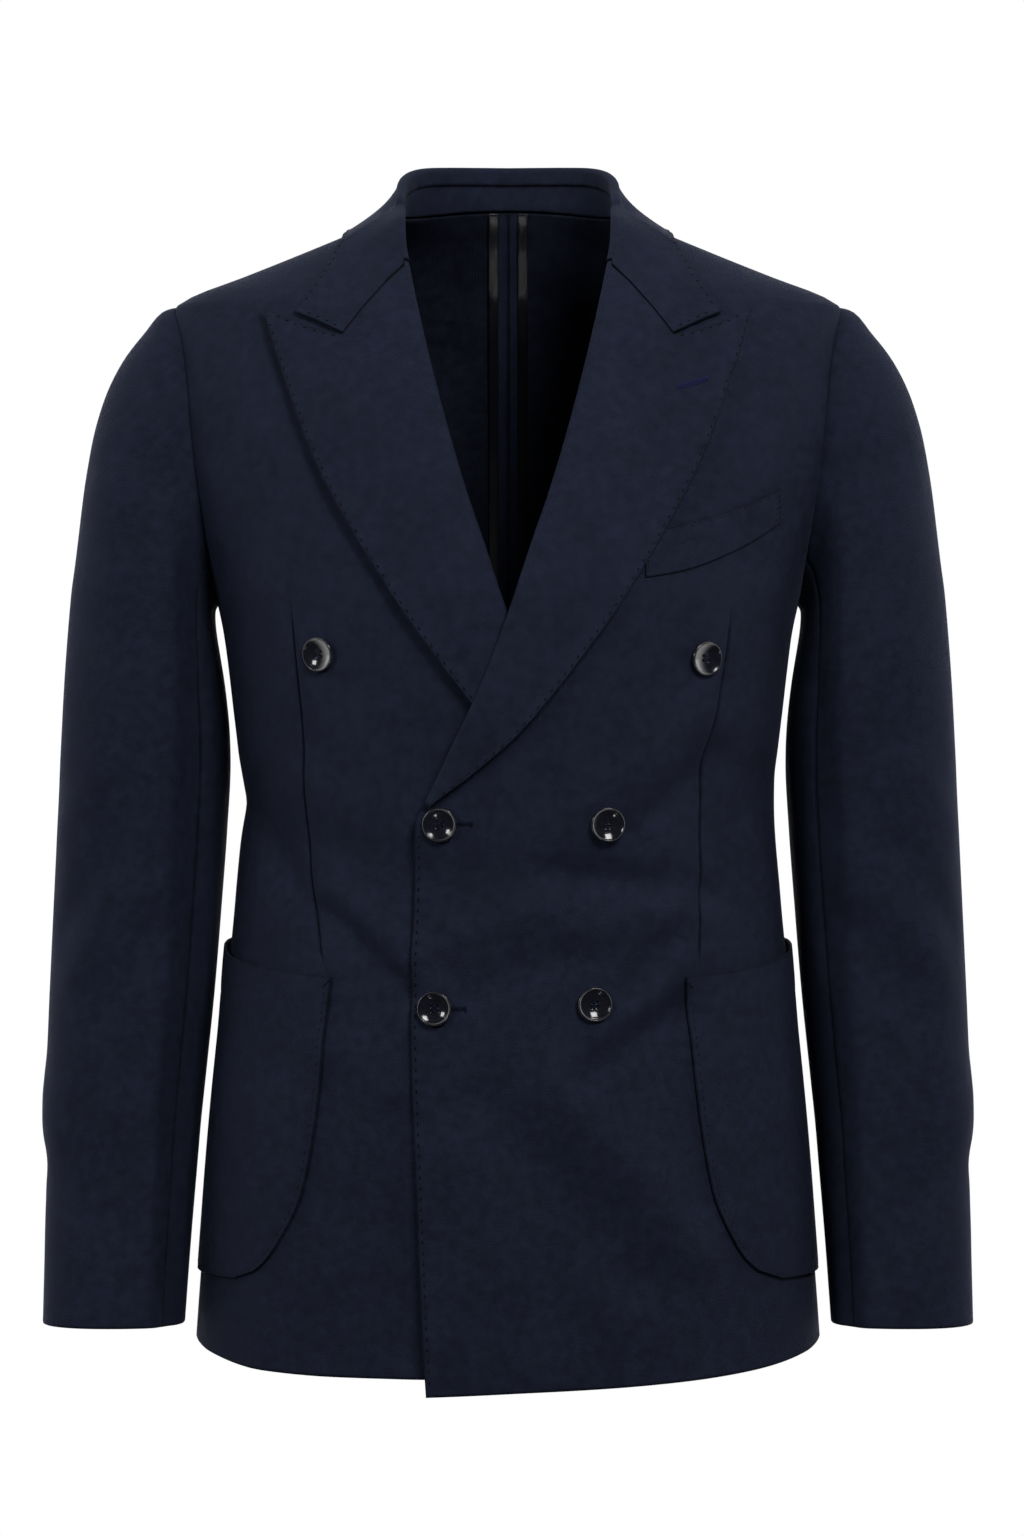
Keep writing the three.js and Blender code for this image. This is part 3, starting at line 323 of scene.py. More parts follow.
MAIN_FOLDS = (
    (-159, -356, -132, -418, 15, -2.6), (-108, -318, -50, -396, 13, 2.0), (-140, -395, -62, -398, 14, -1.6),
    (-84, -436, -70, -462, 13, 1.8), (62, -376, 128, -318, 14, 1.9), (84, -492, 120, -424, 15, 2.0),
    (156, -352, 134, -430, 15, -2.6), (20, -560, 34, -690, 20, -2.0),
)
FRONT_FOLDS = (
    (28, -412, 104, -421, 11, -4.2), (42, -448, 110, -434, 14, 3.6), (122, -424, 74, -484, 8, -3.8),
    (112, -464, 58, -508, 10, 2.2), (102, -496, 48, -537, 11, -4.2), (74, -386, 128, -340, 10, -4.2),
    (48, -364, 108, -316, 12, 2.4), (150, -350, 128, -424, 9, -2.4), (-20, -480, 36, -462, 12, -3.4),
    (-26, -448, 28, -432, 12, 2.6), (28, -540, 114, -640, 17, 4.6), (-14, -550, 78, -658, 17, -3.6),
    (-30, -580, 14, -705, 18, 2.8), (146, -600, 128, -705, 16, -2.2), (-162, -370, -116, -446, 11, -3.4),
    (-110, -434, -60, -486, 7.5, -3.8), (-100, -428, -62, -460, 11, 2.8), (-106, -516, -74, -544, 16, 2.6),
    (-120, -358, -74, -392, 16, 2.4), (-70, -560, -60, -705, 10, -2.2), (-152, -560, -146, -700, 16, 1.8),
    (88, -560, 94, -700, 14, 1.1), (-160, -250, -176, -150, 12, -1.5), (162, -262, 178, -160, 12, -1.5),
    (150, -236, 118, -304, 11, 1.6), (-152, -230, -120, -300, 11, 1.6), (-140, -92, -176, -120, 12, 0.9),
    (140, -96, 178, -122, 12, 0.9),
)
BACK_FOLDS = (
    (-166, -270, -176, -150, 14, -2.4), (166, -264, 176, -156, 14, -2.2), (-150, -286, -112, -210, 15, 1.7),
    (148, -280, 108, -200, 15, 1.6), (-84, -356, -150, -398, 13, -2.0), (78, -350, 148, -400, 13, -1.9),
    (-40, -386, -118, -420, 11, 1.4), (36, -380, 112, -424, 11, 1.4), (-30, -330, -98, -318, 12, -1.2),
    (34, -322, 92, -334, 12, -1.1), (-104, -470, -112, -690, 20, 2.2), (96, -500, 108, -690, 20, 2.2),
    (-58, -520, -62, -700, 18, -1.9), (54, -540, 60, -700, 18, -1.9), (-150, -560, -158, -700, 16, -1.6),
    (146, -540, 156, -700, 16, -1.6), (-34, -40, 34, -42, 11, 1.3), (-60, -30, -30, -62, 10, -0.9),
    (58, -32, 30, -60, 10, -0.9), (-120, -120, -90, -200, 18, 0.9), (118, -118, 88, -206, 18, 0.9),
)
SLEEVE_FOLDS = (
    (52, -150, 100, -170, 10, -2.0), (40, -170, 84, -192, 9, 1.1), (76, -400, 38, -446, 12, -2.3),
    (96, -424, 50, -478, 11, 1.7), (112, -440, 74, -500, 12, -1.9), (70, -350, 30, -384, 13, 1.2),
    (-40, -556, 4, -592, 11, -1.6), (-4, -540, 44, -574, 12, 1.1), (-62, -380, -104, -412, 13, -2.1),
    (-70, -424, -120, -444, 12, 1.6), (-58, -448, -112, -480, 12, -1.6), (-74, -150, -104, -210, 12, -1.6),
    (-40, -110, -60, -230, 16, 1.4), (130, -300, 118, -380, 14, -1.6), (-126, -280, -118, -350, 14, -1.3),
    (20, -240, 28, -340, 18, 1.1), (62, -560, 86, -630, 13, -1.2), (-70, -600, -50, -670, 14, 1.1),
)


def beside_armhole(p: Array) -> Array:
    """0 at the armhole and 1 from 16 mm outside it: the share of a fold that is left there.

    Args:
        p: points of the torso.

    Returns:
        The shares.
    """
    depth = np.where(p[..., 1] < ARMHOLE_Y, ARMHOLE_FRONT, ARMHOLE_BACK)
    reach = np.hypot((p[..., 1] - ARMHOLE_Y) / depth,
                     (p[..., 2] - (ARMHOLE_TOP + ARMHOLE_BOTTOM) / 2) / ((ARMHOLE_TOP - ARMHOLE_BOTTOM) / 2))
    return ease((reach - 1) * 70, 0, 16)


def stand_off(side: Side, x: Array, z: Array) -> Array:
    """How far a front stands off the torso: where the two fronts lie on each other the under one
    sinks and the over one rises, more under the lapel's end and at the lower corner, and the
    folds are added everywhere.

    Args:
        side: the front's side.
        x: distances across, towards the wearer's own side.
        z: heights.

    Returns:
        The distances out.
    """
    share = (1 - ease(np.abs(x), 62, 120)) * ease(z, -150, -236)
    folds = creased(MAIN_FOLDS, side.value * x, z)
    if side is Side.RIGHT:
        return -1.7 * share + folds
    lapel = 3.9 * ease(z, -420, -378)
    kick = 4.0 * ease(z, -520, -720) * (1 - ease(x, -57, 15))
    return (1.7 + lapel + kick) * share + folds


def front_point(side: Side, angle: Array, z: Array, out: Array | float) -> Array:
    """A point standing off a front's face: the torso's point moved along its normal.

    Args:
        side: the front's side.
        angle: radians from the front's middle.
        z: heights.
        out: distances from the face.

    Returns:
        The points, on the wearer's own side.
    """
    p = Torso.point(angle, z)
    fine = creased(FRONT_FOLDS, side.value * p[..., 0], p[..., 2]) * beside_armhole(p)
    off = stand_off(side, p[..., 0], p[..., 2]) + fine + out
    return p + Torso.normal(angle, z) * off[..., None]


def front_point_at_x(side: Side, x: Array, z: Array, out: Array | float) -> Array:
    """A point standing off a front at a distance across."""
    return front_point(side, Torso.angle_at_x(x, z), z, out)


# Grids of points


@dataclass
class Grid:
    """A surface as rows and columns of points in millimetres, and each point's distance to a dart."""

    points: Array
    from_dart: Array | None = None

    def normals(self) -> Array:
        """Unit normals: across × up, from each point's neighbours."""
        return unit(np.cross(np.gradient(self.points, axis=1), np.gradient(self.points, axis=0)))

    def lengths(self) -> tuple[Array, Array]:
        """Distances along the cloth from the first column and from the first row.

        Returns:
            Two arrays of distances.
        """
        across = np.linalg.norm(np.diff(self.points, axis=1), axis=-1)
        up = np.linalg.norm(np.diff(self.points, axis=0), axis=-1)
        start_a, start_u = np.zeros((len(up) + 1, 1)), np.zeros((1, up.shape[1]))
        return (
            np.concatenate([start_a, np.cumsum(across, 1)], 1),
            np.concatenate([start_u, np.cumsum(up, 0)], 0),
        )

    def moved(self, out: Array | float) -> Grid:
        """The grid moved along its normals."""
        distance = np.broadcast_to(out, self.points.shape[:2])[..., None]
        return Grid(self.points + self.normals() * distance, self.from_dart)

    def from_edges(self) -> dict[str, Array]:
        """Each point's distance along the cloth to the first and last column and row."""
        across, up = self.lengths()
        return {
            "first": across, "last": across[:, -1:] - across, "bottom": up, "top": up[-1:] - up,
        }

    def inset(self, edge: str, distance: float, out: float = 0.0) -> Array:
        """A line of points at a distance inside an edge, between the two points of each row or
        column that it passes.

        Args:
            edge: first, last, bottom or top.
            distance: how far inside.
            out: how far off the surface.

        Returns:
            The line's points.
        """
        p, far = self.moved(out).points, self.from_edges()[edge]
        if edge in ("bottom", "top"):
            p, far = p.transpose(1, 0, 2), far.T
        if edge in ("last", "top"):
            p, far = p[:, ::-1], far[:, ::-1]
        after = np.argmax(far >= distance, axis=1)
        row = np.arange(len(p))
        before = np.maximum(after - 1, 0)
        span = np.maximum(far[row, after] - far[row, before], 1e-6)
        share = np.clip((distance - far[row, before]) / span, 0, 1)[:, None]
        return lerp(p[row, before], p[row, after], share)


def spaced(line: Array, pitch: float, start: float = 0.0, end: float = 0.0) -> tuple[Array, Array]:
    """Places at an even pitch along a line, and the way along it there.

    Args:
        line: the line's points.
        pitch: the distance between places.
        start: how much of the line's start is left out.
        end: how much of its end is left out.

    Returns:
        The places and the unit tangents.
    """
    run = np.concatenate([[0], np.cumsum(np.linalg.norm(np.diff(line, axis=0), axis=1))])
    count = max(int((run[-1] - start - end) / pitch), 1)
    at = start + pitch * (np.arange(count) + 0.5)
    here, before, after = (
        np.stack([np.interp(s, run, line[:, k]) for k in range(3)], axis=-1) for s in (at, at - 0.5, at + 0.5)
    )
    return here, unit(after - before)


def smoothed(rows: Array, keys: Array, at: Array) -> Array:
    """Rows of points carried smoothly over a key: cubic Hermite with the neighbours' mean slope.

    Args:
        rows: points at each key, the key first.
        keys: the rising keys.
        at: the keys wanted.

    Returns:
        The points there.
    """
    slope = np.gradient(rows, keys, axis=0)
    i = np.clip(np.searchsorted(keys, at, side="right") - 1, 0, len(keys) - 2)
    h = (keys[i + 1] - keys[i]).reshape((-1,) + (1,) * (rows.ndim - 1))
    t = (at - keys[i]).reshape(h.shape) / h
    rise = t * t * (3 - 2 * t)
    bow = h * t * (1 - t) * ((1 - t) * slope[i] - t * slope[i + 1])
    return rows[i] * (1 - rise) + rows[i + 1] * rise + bow


def far_from(points: Array, line: Array) -> Array:
    """Each point's distance to the nearest stretch of a line of points.

    Args:
        points: points in any number of dimensions.
        line: the line's points.

    Returns:
        The distances: the least, over the line's stretches, to the foot held within each.
    """
    flat = points.reshape(-1, 3)[:, None]
    start, run = line[:-1], np.diff(line, axis=0)
    share = ((flat - start) * run).sum(-1) / np.maximum((run * run).sum(-1), 1e-9)
    away = flat - start - np.clip(share, 0, 1)[..., None] * run
    return np.sqrt((away * away).sum(-1).min(1)).reshape(points.shape[:-1])


# Meshes


@dataclass
class Cut:
    """A closed mesh in millimetres: points, faces, a cloth map in metres, and the distance to the
    nearest edge or dart, which is 0 all over the wrong side; the cloth's painted shade is drawn from it."""

    points: Array
    faces: list[Array]
    uv: Array
    edge: Array


def joined(*cuts: Cut) -> Cut:
    """Several meshes as one."""
    shifts = np.cumsum([0, *(len(cut.points) for cut in cuts)])
    return Cut(
        np.concatenate([cut.points for cut in cuts]),
        [f + shift for cut, shift in zip(cuts, shifts) for f in cut.faces],
        np.concatenate([cut.uv for cut in cuts]),
        np.concatenate([cut.edge for cut in cuts]),
    )


def grid_quads(rows: int, columns: int, turned: bool = False) -> Array:
    """The quads of a grid of points, each (i,j) (i,j+1) (i+1,j+1) (i+1,j), or the other way round.

    Args:
        rows: how many rows of points.
        columns: how many columns.
        turned: True to turn the quads over.

    Returns:
        Four point numbers for each quad.
    """
    corner = (np.arange(rows - 1)[:, None] * columns + np.arange(columns - 1)).ravel()
    quads = np.stack([corner, corner + 1, corner + columns + 1, corner + columns], axis=1)
    return quads[:, ::-1] if turned else quads


def shell(grid: Grid, thickness: float, grain: int = 0) -> Cut:
    """A piece of cloth: the grid's face, its back a thickness behind it, and a rounded edge all
    round, which is a half circle of radius r = thickness / 2 carried along the rim: at an angle t
    it lies r(1 - sin t) inside the grid's own edge and r(1 - cos t) behind the face.

    Args:
        grid: the face, whose across × up points out of the cloth.
        thickness: of the cloth.
        grain: the column that the warp follows.

    Returns:
        The closed mesh.
    """
    face, normal = grid.points, grid.normals()
    rows, columns = face.shape[:2]
    inward, room = np.zeros_like(face), np.full((rows, columns), thickness / 2)
    for edge, beside in ((np.s_[:, 0], np.s_[:, 1]), (np.s_[:, -1], np.s_[:, -2]),
                         (np.s_[0], np.s_[1]), (np.s_[-1], np.s_[-2])):
        step = face[beside] - face[edge]
        inward[edge] += unit(step)
        room[edge] = np.minimum(room[edge], 0.45 * np.linalg.norm(step, axis=-1))
    rim = np.zeros((rows, columns), bool)
    rim[[0, -1]] = rim[:, [0, -1]] = True
    pulled = np.where(rim[..., None], inward * room[..., None], 0)
    index = np.arange(rows * columns).reshape(rows, columns)
    loop = np.concatenate([index[0], index[1:, -1], index[-1, -2::-1], index[-2:0:-1, 0]])
    base, way = face.reshape(-1, 3)[loop], inward.reshape(-1, 3)[loop]
    behind, reach = normal.reshape(-1, 3)[loop], room.reshape(-1)[loop][:, None]
    rings = [
        base + way * reach * (1 - math.sin(t)) - behind * thickness / 2 * (1 - math.cos(t))
        for t in (math.pi / 4, math.pi / 2, 3 * math.pi / 4)
    ]
    points = np.concatenate([
        (face + pulled).reshape(-1, 3), *rings, (face + pulled - normal * thickness).reshape(-1, 3),
    ])
    count = rows * columns
    levels = [loop, *(count + k * len(loop) + np.arange(len(loop)) for k in range(3)),
              count + 3 * len(loop) + loop]
    sides = [
        np.stack([a, b, np.roll(b, -1), np.roll(a, -1)], axis=1) for a, b in zip(levels, levels[1:])
    ]
    faces = [
        grid_quads(rows, columns), *sides, grid_quads(rows, columns, True) + count + 3 * len(loop),
    ]
    across, up = grid.lengths()
    run = np.stack([
        across - across[:, [grain]], np.broadcast_to(up[:, [grain]], across.shape),
    ], axis=-1).reshape(-1, 2) * METRES
    from_rim = np.minimum(np.minimum(across, across[:, -1:] - across), np.minimum(up, up[-1:] - up))
    if grid.from_dart is not None:
        from_rim = np.minimum(from_rim, grid.from_dart)
    from_rim = from_rim.reshape(-1)
    return Cut(
        points, faces,
        np.concatenate([run, *[run[loop]] * 3, run]),
        # the rims and the whole wrong side get a distance of 0, so that the cloth's painted shade covers them
        np.concatenate([from_rim, np.zeros(3 * len(loop) + len(from_rim))]),
    )


def threads(side: Side, places: Array, ways: Array, outs: Array, half: float, radius: float) -> Cut:
    """Short visible threads, each a small spindle: at a share s of its half length it is
    radius × (1 - s²)^0.6 thick, and its middle bows out by a quarter of the radius.

    Args:
        side: the side that they are placed on.
        places: the middles, on the wearer's own side, as the vectors are.
        ways: unit vectors along the threads.
        outs: unit vectors out of the cloth.
        half: half a thread's length.
        radius: of the thread.

    Returns:
        The closed spindles.
    """
    places, ways, outs = (mirrored(side, vectors) for vectors in (places, ways, outs))
    stations, steps = np.array([-0.78, -0.3, 0.3, 0.78]), 6
    across = unit(np.cross(ways, outs))
    outs = np.cross(across, ways)
    turn = np.arange(steps) * 2 * math.pi / steps
    thick = radius * (1 - stations ** 2) ** 0.6
    ring = (
        ways[:, None, None] * (stations * half)[None, :, None, None]
        + across[:, None, None] * (thick[:, None] * np.cos(turn))[None, :, :, None]
        + outs[:, None, None] * (thick[:, None] * np.sin(turn) + radius * 0.25)[None, :, :, None]
    ).reshape(len(places), -1, 3)
    tips = np.stack([-ways * half, ways * half], axis=1)
    points = (np.concatenate([ring, tips], axis=1) + places[:, None]).reshape(-1, 3)
    near = np.arange(steps)
    beside = (near + 1) % steps
    quads = np.concatenate([
        np.stack([near, beside, beside + steps, near + steps], axis=1) + k * steps
        for k in range(len(stations) - 1)
    ])
    last = (len(stations) - 1) * steps
    first_tip = len(stations) * steps
    fans = np.concatenate([
        np.stack([beside, near, np.full(steps, first_tip)], axis=1),
        np.stack([near + last, beside + last, np.full(steps, first_tip + 1)], axis=1),
    ])
    shift = (np.arange(len(places)) * (first_tip + 2))[:, None, None]
    along = np.concatenate([np.repeat(stations, steps), [-1.0, 1.0]]) * half
    uv = np.stack([np.tile(along, len(places)), np.zeros(len(points))], axis=1) * METRES
    return Cut(
        points, [(quads + shift).reshape(-1, 4), (fans + shift).reshape(-1, 3)],
        uv, np.zeros(len(points)),
    )


def mirrored(side: Side, points: Array) -> Array:
    """Points of the wearer's own side, placed on that side."""
    return points * np.array([side.value, 1.0, 1.0])


def placed(side: Side, grid: Grid) -> Grid:
    """A grid of the wearer's own side on that side, its columns turned round where it is mirrored,
    so that across × up still points out of the cloth.

    Args:
        side: the side that it goes to.
        grid: the grid.

    Returns:
        The placed grid.
    """
    way = slice(None, None, side.value)
    dart = None if grid.from_dart is None else grid.from_dart[:, way]
    return Grid(mirrored(side, grid.points)[:, way], dart)


def signed_volume(points: Array, faces: list[Array]) -> float:
    """Six times the volume within the faces, above 0 where they point out.

    Args:
        points: the mesh's points.
        faces: its faces, in groups of as many corners.

    Returns:
        That volume.
    """
    fans = [f[:, [0, k, k + 1]] for f in faces for k in range(1, f.shape[1] - 1)]
    a, b, c = (points[np.concatenate(fans)[:, k]] for k in range(3))
    return float((a * np.cross(b, c)).sum())


def mesh_area(mesh: bpy.types.Mesh) -> float:
    """The sum of a mesh's faces' areas.

    Args:
        mesh: the mesh.

    Returns:
        The area in square metres.
    """
    areas = np.empty(len(mesh.polygons))
    mesh.polygons.foreach_get("area", areas)
    return float(areas.sum())


def sewn(
    name: str, cut: Cut, material: Material,
) -> bpy.types.Object:
    """Sets a mesh down as an object in metres that rides on the blazer, and reports it.

    Args:
        name: the object's name.
        cut: the mesh.
        material: its finish.

    Returns:
        The object.
    """
    mesh = bpy.data.meshes.new(name)
    faces = cut.faces if signed_volume(cut.points, cut.faces) > 0 else [f[:, ::-1] for f in cut.faces]
    mesh.from_pydata(cut.points * METRES, [], [f for group in faces for f in group.tolist()])
    corners = np.concatenate([group.ravel() for group in faces])
    mesh.uv_layers.new(name="cloth").data.foreach_set("uv", cut.uv[corners].astype(np.float32).ravel())
    # edge_mm is the distance from which the cloth paints shade along edges, seams and darts and over the wrong
    # side
    edge = mesh.attributes.new("edge_mm", "FLOAT", "POINT")
    edge.data.foreach_set("value", np.clip(cut.edge, 0, 50).astype(np.float32))
    mesh.polygons.foreach_set("use_smooth", np.ones(len(mesh.polygons), bool))
    mesh.materials.append(material)
    mesh.validate()
    thing = bpy.data.objects.new(name, mesh)
    bpy.context.scene.collection.objects.link(thing)
    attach(thing, "root")
    LOG.info("%s: %d points, %.4f m² of cloth", name, len(mesh.vertices), mesh_area(mesh) / 2)
    return thing


# Finishes


def linear(colour: str) -> tuple[float, float, float, float]:
    """An sRGB hex colour as linear red, green, blue and alpha."""
    parts = (int(colour[k:k + 2], 16) / 255 for k in (0, 2, 4))
    return (*(p / 12.92 if p <= 0.04045 else ((p + 0.055) / 1.055) ** 2.4 for p in parts), 1.0)


def fill(tree: Tree, node: bpy.types.Node, inputs: dict[int | str, object]) -> None:
    """Sets a node's inputs, and links those whose value is a socket.

    Args:
        tree: the node's tree.
        node: the node.
        inputs: a value for each input, or the socket that it is linked from.
    """
    for name, value in inputs.items():
        if isinstance(value, Socket):
            tree.links.new(value, node.inputs[name])
        else:
            node.inputs[name].default_value = value


def put(
    tree: Tree, kind: str, inputs: dict[int | str, object] | None = None, **settings: object,
) -> bpy.types.Node:
    """Adds a node with its settings and its inputs.

    Args:
        tree: the tree that it joins.
        kind: the node's type.
        inputs: a value for each input, or the socket that it is linked from.
        settings: the node's own properties.

    Returns:
        The node.
    """
    node = tree.nodes.new(kind)
    for name, value in settings.items():
        setattr(node, name, value)
    fill(tree, node, inputs or {})
    return node


def calc(tree: Tree, operation: str, *values: Socket | float) -> Socket:
    """The result of a sum on values or sockets."""
    return put(tree, "ShaderNodeMath", dict(enumerate(values)), operation=operation).outputs[0]


def wave(tree: Tree, along: Socket, length_mm: float) -> Socket:
    """The sine of a distance in metres, one turn in a length."""
    return calc(tree, "SINE", calc(tree, "MULTIPLY", along, 2 * math.pi / (length_mm * METRES)))


def noise(
    tree: Tree, place: Socket, scale: float, detail: float = 2.0, warp: float = 0.0,
) -> Socket:
    """Clouds over places, their scale per unit of place."""
    return put(tree, "ShaderNodeTexNoise", {
        "Vector": place, "Scale": scale, "Detail": detail, "Distortion": warp,
    }).outputs[0]


def stretched(tree: Tree, place: Socket, *scale: float) -> Socket:
    """Places scaled along each axis."""
    return put(tree, "ShaderNodeMapping", {"Vector": place, "Scale": scale}).outputs[0]


def ramp(
    tree: Tree, value: Socket, *ends: float, kind: str = "LINEAR",
) -> Socket:
    """A value carried from the range of the first two ends to that of the last two, or to 0 and 1."""
    ranges = {0: value, **dict(enumerate(ends, 1))}
    return put(tree, "ShaderNodeMapRange", ranges, interpolation_type=kind).outputs[0]


def blend(
    tree: Tree, share: Socket, first: object, second: object,
) -> Socket:
    """The colour at a share of the way between two colours."""
    return put(tree, "ShaderNodeMix", {0: share, 6: first, 7: second}, data_type="RGBA").outputs[2]


def relief(
    tree: Tree, height: Socket, strength: float, depth_mm: float,
) -> Socket:
    """The normal of a surface raised by a height."""
    return put(tree, "ShaderNodeBump", {
        "Strength": strength, "Distance": depth_mm * METRES, "Height": height,
    }).outputs[0]


def maps(tree: Tree) -> tuple[Socket, Socket]:
    """The cloth's own map, in metres along the cloth, and the place in the garment."""
    return (put(tree, "ShaderNodeUVMap", uv_map="cloth").outputs["UV"],
            put(tree, "ShaderNodeTexCoord").outputs["Object"])


def new_material(name: str) -> tuple[Material, Tree, bpy.types.Node]:
    """A material with its node tree and its surface shader.

    Args:
        name: its name.

    Returns:
        The material, its tree and its shader.
    """
    material = bpy.data.materials.new(name)
    material.use_nodes = True
    tree = material.node_tree
    tree.nodes.clear()
    shader = put(tree, "ShaderNodeBsdfPrincipled")
    put(tree, "ShaderNodeOutputMaterial", {"Surface": shader.outputs["BSDF"]})
    return material, tree, shader


@dataclass(frozen=True)
class WovenWool:
    """Worsted wool, woven fine and pressed: matt, with a soft sheen of fibre ends at grazing angles.

    The real threads lie 0.45 mm apart. They are drawn coarser, so that the weave shows in the render.
    """

    name: str
    dark: str
    light: str
    cool: str
    thread_mm: float = 0.95
    relief_mm: float = 0.16
    sheen: float = 0.07
    sheen_tint: str = "9aa4c4"

    def material(self) -> Material:
        """The cloth: threads over and under as sin(u) × sin(v) on the cloth's own map, slubs that run along the
        weft, mottling in tone and hue, and painted shade within 1.5 mm of every edge, seam and dart and all over
        the wrong side."""
        material, tree, shader = new_material(self.name)
        cloth, place = maps(tree)
        axes = put(tree, "ShaderNodeSeparateXYZ", {0: cloth}).outputs
        weave = calc(tree, "MULTIPLY", *(wave(tree, axes[k], 2 * self.thread_mm) for k in (0, 1)))
        slub = noise(tree, stretched(tree, cloth, 120.0, 900.0, 1.0), 1.0)
        fibre, mottle, broad, hue = (
            noise(tree, place, scale, detail) for scale, detail in ((1400, 3), (150, 5), (24, 3), (60, 4))
        )
        shade = calc(tree, "MULTIPLY_ADD", weave, 0.10, -0.28)
        for cloud, share in ((fibre, 0.22), (slub, 0.20), (mottle, 0.80), (broad, 0.32)):
            shade = calc(tree, "MULTIPLY_ADD", cloud, share, shade)
        edge = put(tree, "ShaderNodeAttribute", attribute_name="edge_mm").outputs["Fac"]
        # painted shade: the colour darkens within 1.5 mm of each edge, seam and dart, and all over the wrong
        # side, where edge_mm is 0
        shade = calc(tree, "ADD", shade, ramp(tree, edge, 0.3, 1.5, -0.32, 0.0))
        light = blend(tree, ramp(tree, hue, 0.36, 0.64), linear(self.light), linear(self.cool))
        height = calc(tree, "MULTIPLY_ADD", fibre, 0.7, weave)
        height = calc(tree, "MULTIPLY_ADD", slub, 0.9, height)
        fill(tree, shader, {
            "Base Color": blend(tree, shade, linear(self.dark), light),
            "Normal": relief(tree, height, 0.55, self.relief_mm),
            "Roughness": ramp(tree, mottle, 0.3, 0.7, 0.82, 0.95),
            "Specular IOR Level": 0.06, "Sheen Weight": self.sheen, "Sheen Roughness": 0.3,
            "Sheen Tint": linear(self.sheen_tint),
        })
        return material


@dataclass(frozen=True)
class SatinTape:
    """Woven acetate satin tape: long floats along the warp, so it shines across them."""

    name: str = "satin_tape"
    dark: str = "05060b"
    light: str = "0c0e18"
    float_mm: float = 0.5

    def material(self) -> Material:
        """The tape: fine ribs along its length, from a sine of the map's u."""
        material, tree, shader = new_material(self.name)
        cloth, _ = maps(tree)
        across = put(tree, "ShaderNodeSeparateXYZ", {0: cloth}).outputs[0]
        streak = noise(tree, stretched(tree, cloth, 900.0, 60.0, 1.0), 1.0)
        fill(tree, shader, {
            "Base Color": blend(tree, streak, linear(self.dark), linear(self.light)),
            "Normal": relief(tree, wave(tree, across, self.float_mm), 0.3, 0.05),
            "Roughness": 0.28, "Specular IOR Level": 0.8,
        })
        return material


@dataclass(frozen=True)
class PolyesterButton:
    """Cast polyester, tumbled to a gloss: near-black navy with faint horn-like clouds under the skin."""

    name: str = "navy_button"
    dark: str = "0e0f15"
    light: str = "23242d"

    def material(self) -> Material:
        """The button: clouds of a few millimetres, stretched along one way, under a clear gloss."""
        material, tree, shader = new_material(self.name)
        place = put(tree, "ShaderNodeTexCoord").outputs["Object"]
        cloud = noise(tree, stretched(tree, place, 160.0, 160.0, 420.0), 1.0, 5.0, 0.6)
        scuff = noise(tree, place, 900.0, 3.0)
        fill(tree, shader, {
            "Base Color": blend(tree, cloud, linear(self.dark), linear(self.light)),
            "Normal": relief(tree, scuff, 0.03, 0.03),
            "Roughness": ramp(tree, scuff, 0.3, 0.7, 0.09, 0.15), "IOR": 1.54,
        })
        return material


@dataclass(frozen=True)
class SewingThread:
    """Spun polyester thread, twisted from two plies: a soft shine with fine slanting turns."""

    name: str
    colour: str
    ply_mm: float = 0.5

    def material(self) -> Material:
        """The thread: turns of its plies from a sine along the thread's own map."""
        material, tree, shader = new_material(self.name)
        cloth, place = maps(tree)
        along = put(tree, "ShaderNodeSeparateXYZ", {0: cloth}).outputs[0]
        base = linear(self.colour)
        shaded = tuple(0.6 * part for part in base[:3]) + (1.0,)
        fill(tree, shader, {
            "Base Color": blend(tree, noise(tree, place, 2500.0), shaded, base),
            "Normal": relief(tree, wave(tree, along, self.ply_mm), 0.5, 0.08),
            "Roughness": 0.6, "Specular IOR Level": 0.1,
        })
        return material


@dataclass(frozen=True)
class StudioPaper:
    """Seamless background paper, matt and nearly white, with a glow as if lit from behind."""

    name: str = "studio_paper"
    dark: str = "e9e8e6"
    light: str = "f2f1ef"

    def material(self) -> Material:
        """The paper, with the faintest tooth."""
        material, tree, shader = new_material(self.name)
        place = put(tree, "ShaderNodeTexCoord").outputs["Object"]
        fill(tree, shader, {
            "Base Color": blend(tree, noise(tree, place, 40.0), linear(self.dark), linear(self.light)),
            "Roughness": 0.9, "Emission Color": (1.0, 1.0, 1.0, 1.0), "Emission Strength": 0.45,
        })
        return material


# The body's panels

SKIRT_ROWS = np.concatenate([[-703, -700.6, -698, -694.5], np.linspace(-690.5, -246, 112)])
ARMHOLE_TURNS = np.linspace(math.pi, 0, 48)
SHOULDER_ROWS = np.concatenate([np.linspace(-52, -8, 12), [-5, -2.4, 0]])
ROW_Z = np.concatenate([SKIRT_ROWS, armhole_z(ARMHOLE_TURNS), SHOULDER_ROWS])[:, None]
ROW_TURN = np.concatenate([
    np.full(len(SKIRT_ROWS), np.nan), ARMHOLE_TURNS, np.full(len(SHOULDER_ROWS), np.nan),
])[:, None]
NEAR_EDGE = np.array([0.0, 0.45, 1.0, 1.9, 3.4, 5.6, 9.0])  # columns beside a seam, for its furrow
FURROW = 1.9  # how wide the furrow along a seam is


